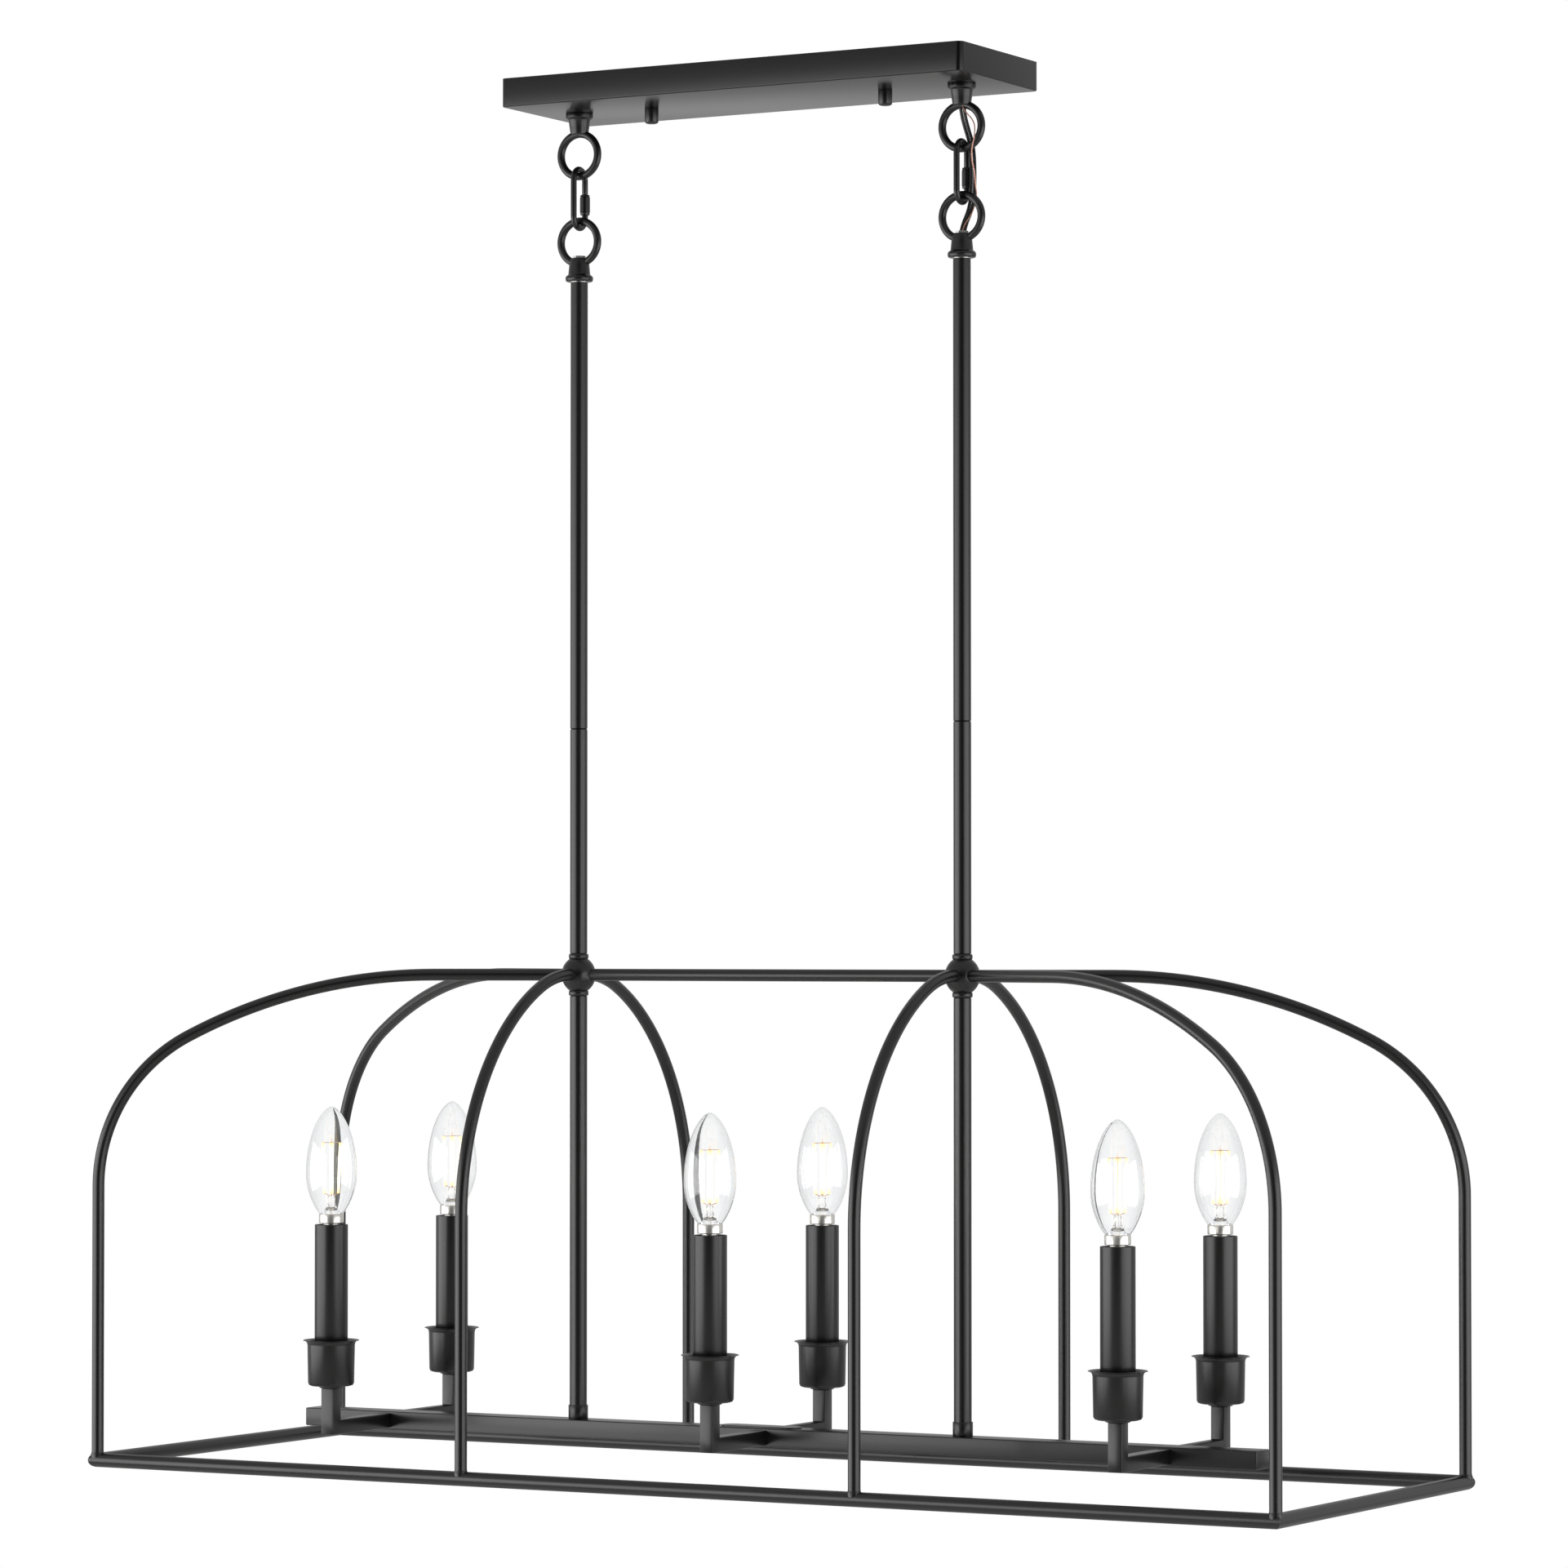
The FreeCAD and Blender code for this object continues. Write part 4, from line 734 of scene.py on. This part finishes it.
cup = turned("cup_1", [
    (0.0068, 0), (0.0078, 0.0004), (0.0082, 0.0013), (0.0090, 0.0015), (0.0128, 0.0015),
    (0.0146, 0.0021), (0.01535, 0.0035), (0.0158, 0.0285), (0.0160, 0.0297), (0.0166, 0.0308),
    (0.0178, 0.0315), (0.01865, 0.0316), (0.01873, 0.0318), (0.0182, 0.0321), (0.0170, 0.0318),
    (0.0157, 0.0309), (0.0151, 0.0293), (0.0148, 0.0047), (0.0140, 0.0037), (0.0112, 0.0037),
], cup_foot, x=-candle_x, y=-candle_y, sides=64)
for number, piece in at_each_candle(cup):
    fit(piece, black_coat, "black_steel", "fixture_body", "candle_cups")

sleeve_black = painted("sleeve_black", bump=0.02, Grain=900.0, Dark=(0.0035, 0.0035, 0.0035, 1),
                       Light=(0.0060, 0.0060, 0.0058, 1), Smooth=0.28, Rough=0.34)
sleeve_foot, sleeve_length = cup_foot + 0.0037, 0.1050
sleeve_radius, sleeve_bore = 0.01105, 0.01015
sleeve = turned("sleeve_1", [
    (sleeve_bore, 0), (sleeve_radius - 0.0001, 0), (sleeve_radius, 0.0002),
    (sleeve_radius, sleeve_length - 0.0002), (sleeve_radius - 0.0002, sleeve_length),
    (sleeve_bore + 0.00015, sleeve_length), (sleeve_bore, sleeve_length - 0.0002),
    (sleeve_bore, sleeve_length - 0.0040),
], sleeve_foot, x=-candle_x, y=-candle_y, sides=56)
for number, piece in at_each_candle(sleeve):
    fit(piece, sleeve_black, "black_sleeve", "fixture_body", "candle_sleeves")

socket_black = painted("socket_black", bump=0.05, Dark=(0.02, 0.02, 0.02, 1), Light=(0.03, 0.03, 0.03, 1))
dress("lamp_sockets", socket_black)


# ---- Lamps: clear torpedo lamps with a candelabra screw base and a bright collar.
# Four glowing sticks stand on wires round a glass stem inside the envelope.
seat = sleeve_foot + sleeve_length + 0.0072
filament_low, filament_high = seat + 0.0136, seat + 0.0470

collar_metal = painted("collar_metal", bump=0.03, metallic=0.8, Grain=700.0, Dark=(0.66, 0.64, 0.60, 1),
                       Light=(0.84, 0.82, 0.78, 1), Smooth=0.18, Rough=0.30)
lamp_copper = painted("lamp_copper", bump=0.02, metallic=0.7, Grain=900.0, Dark=(0.45, 0.25, 0.12, 1),
                      Light=(0.75, 0.50, 0.28, 1), Smooth=0.25, Rough=0.4)

clear_glass = bpy.data.materials.new("clear_glass")
clear_glass.use_nodes = True
glass_nodes, glass_links = clear_glass.node_tree.nodes, clear_glass.node_tree.links
glass = glass_nodes["Principled BSDF"]
glass.inputs["Transmission Weight"].default_value = 1.0
glass.inputs["IOR"].default_value = 1.45
streaks = glass_nodes.new("ShaderNodeTexNoise")
streaks.inputs["Scale"].default_value = 25.0
glass_place = glass_nodes.new("ShaderNodeTexCoord")
glass_links.new(glass_place.outputs["Object"], streaks.inputs["Vector"])
haze = glass_nodes.new("ShaderNodeMapRange")
haze.inputs["To Min"].default_value = 0.0
haze.inputs["To Max"].default_value = 0.004
glass_links.new(streaks.outputs["Fac"], haze.inputs["Value"])
glass_links.new(haze.outputs["Result"], glass.inputs["Roughness"])
# Painted shade: the glass is painted greyer where it is seen edge-on, along the lamp's outline.
rim = glass_nodes.new("ShaderNodeLayerWeight")
rim.inputs["Blend"].default_value = 0.35
painted_edge_shade = glass_nodes.new("ShaderNodeMix")
painted_edge_shade.data_type = "RGBA"
painted_edge_shade.inputs["A"].default_value = (0.975, 0.978, 0.98, 1)
painted_edge_shade.inputs["B"].default_value = (0.76, 0.77, 0.78, 1)
glass_links.new(rim.outputs["Facing"], painted_edge_shade.inputs["Factor"])
glass_links.new(painted_edge_shade.outputs["Result"], glass.inputs["Base Color"])

# The sticks glow a yellowish white, and amber toward their ends.
glow = bpy.data.materials.new("filament_glow")
glow.use_nodes = True
glow_nodes, glow_links = glow.node_tree.nodes, glow.node_tree.links
glow_shader = glow_nodes["Principled BSDF"]
glow_shader.inputs["Emission Strength"].default_value = 1.1
glow_place = glow_nodes.new("ShaderNodeTexCoord")
glow_height = glow_nodes.new("ShaderNodeSeparateXYZ")
glow_links.new(glow_place.outputs["Object"], glow_height.inputs[0])
from_middle = glow_nodes.new("ShaderNodeMath")
from_middle.operation = "SUBTRACT"
from_middle.inputs[1].default_value = (filament_low + filament_high) / 2
glow_links.new(glow_height.outputs["Z"], from_middle.inputs[0])
how_far = glow_nodes.new("ShaderNodeMath")
how_far.operation = "ABSOLUTE"
glow_links.new(from_middle.outputs[0], how_far.inputs[0])
toward_ends = glow_nodes.new("ShaderNodeMapRange")
toward_ends.inputs["From Min"].default_value = 0.3 * (filament_high - filament_low)
toward_ends.inputs["From Max"].default_value = 0.5 * (filament_high - filament_low)
glow_links.new(how_far.outputs[0], toward_ends.inputs["Value"])
glow_tint = glow_nodes.new("ShaderNodeMix")
glow_tint.data_type = "RGBA"
glow_tint.inputs["A"].default_value = (1.0, 0.92, 0.70, 1)
glow_tint.inputs["B"].default_value = (1.0, 0.66, 0.28, 1)
glow_links.new(toward_ends.outputs["Result"], glow_tint.inputs["Factor"])
glow_links.new(glow_tint.outputs["Result"], glow_shader.inputs["Emission Color"])
glow_links.new(glow_tint.outputs["Result"], glow_shader.inputs["Base Color"])

thread_crest, thread_root, thread_pitch, collar_outer = 0.0058, 0.0054, 0.0026, 0.0083
rings = [(0.0030, -0.0252), (0.0042, -0.0240), (0.0056, -0.0230)]
for turn in range(5):
    low = -0.0222 + turn * thread_pitch
    rings += [(thread_crest, low), (thread_root, low + thread_pitch / 2)]
rings += [(0.0057, -0.0087), (0.0057, -0.0066), (collar_outer - 0.0003, -0.0062), (collar_outer, -0.0058),
          (collar_outer, -0.0005), (collar_outer - 0.0002, -0.0001), (0.0074, 0)]
cap = turned("lamp_base_1", rings, seat, x=-candle_x, y=-candle_y)

glass_radius, glass_belly, glass_length, glass_neck, glass_wall = 0.0169, 0.027, 0.0712, 0.0080, 0.0007
swelling = [share / 8 for share in range(9)]
narrowing = (0.12, 0.24, 0.36, 0.47, 0.57, 0.66, 0.74, 0.81, 0.87, 0.92, 0.955, 0.98, 0.993, 0.998)
outline = [(glass_neck + (glass_radius - glass_neck) * math.sin(math.pi / 2 * up ** 0.85), glass_belly * up)
           for up in swelling]
outline += [(glass_radius * (1 - up ** 2) ** 0.6, glass_belly + (glass_length - glass_belly) * up)
            for up in narrowing]
envelope = turned("lamp_envelope_1", outline, seat, x=-candle_x, y=-candle_y, sides=64)
bpy.ops.object.mode_set(mode="EDIT")
pick(envelope, lambda face: face.center.z < seat + 0.0001 and abs(face.normal.z) > 0.9)
bpy.ops.mesh.delete(type="FACE")
bpy.ops.mesh.select_all(action="SELECT")
bpy.ops.mesh.normals_make_consistent(inside=False)
bpy.ops.object.mode_set(mode="OBJECT")
give_wall(envelope, glass_wall)

glass_stem = turned("lamp_stem_1", [
    (0.0060, 0.0002), (0.0046, 0.0026), (0.0028, 0.0056), (0.0021, 0.0084), (0.0025, 0.0108), (0.0016, 0.0120),
    (0.0008, 0.0124),
], seat, x=-candle_x, y=-candle_y, sides=32)


def around(radius, degrees, height):
    """A point beside the axis of lamp 1."""
    angle = math.radians(degrees)
    return Vector((radius * math.cos(angle) - candle_x, radius * math.sin(angle) - candle_y, height))


def straight_wire(label, start, end, radius, sides=8):
    """A short straight piece of wire."""
    return bent_rod(label, start, end - start, radius, [tuple(end - start)], sides=sides)


wire_root, first_stick, foot_spread, head_spread = seat + 0.0118, 38, 0.0046, 0.0058
lamp_pieces = [(cap, collar_metal, "lamp_metal", "lamp_cap"), (envelope, clear_glass, "clear_glass", "lamp_glass"),
               (glass_stem, clear_glass, "clear_glass", None)]
for stick in range(4):
    degrees = first_stick + 90 * stick
    root, foot, head = (around(0.0010, degrees, wire_root), around(foot_spread, degrees, filament_low),
                        around(head_spread, degrees, filament_high))
    filament = straight_wire(f"filament_1_{stick + 1}", foot, head, 0.0009, sides=12)
    lamp_pieces.append((filament, glow, "lamp_metal", None))
    leg = straight_wire(f"filament_leg_1_{stick + 1}", root, foot, 0.00025)
    lamp_pieces.append((leg, lamp_copper, "lamp_metal", None))
for pair in range(2):
    ends = [around(head_spread, first_stick + 180 * pair + step, filament_high + 0.0003) for step in (0, 90)]
    bridge = straight_wire(f"filament_bridge_1_{pair + 1}", *ends, 0.0002)
    lamp_pieces.append((bridge, lamp_copper, "lamp_metal", None))
post = straight_wire("filament_post_1", around(0, 0, wire_root), around(0, 0, filament_high + 0.0030), 0.00022)
lamp_pieces.append((post, lamp_copper, "lamp_metal", None))

for first, finish, slot, node in lamp_pieces:
    for number, piece in at_each_candle(first):
        fit(piece, finish, slot, f"lamp_{number}_body", *([f"{node}_{number}"] if node else []))


# ---- The box round all that the scene shows, the floor left out.
low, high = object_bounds()
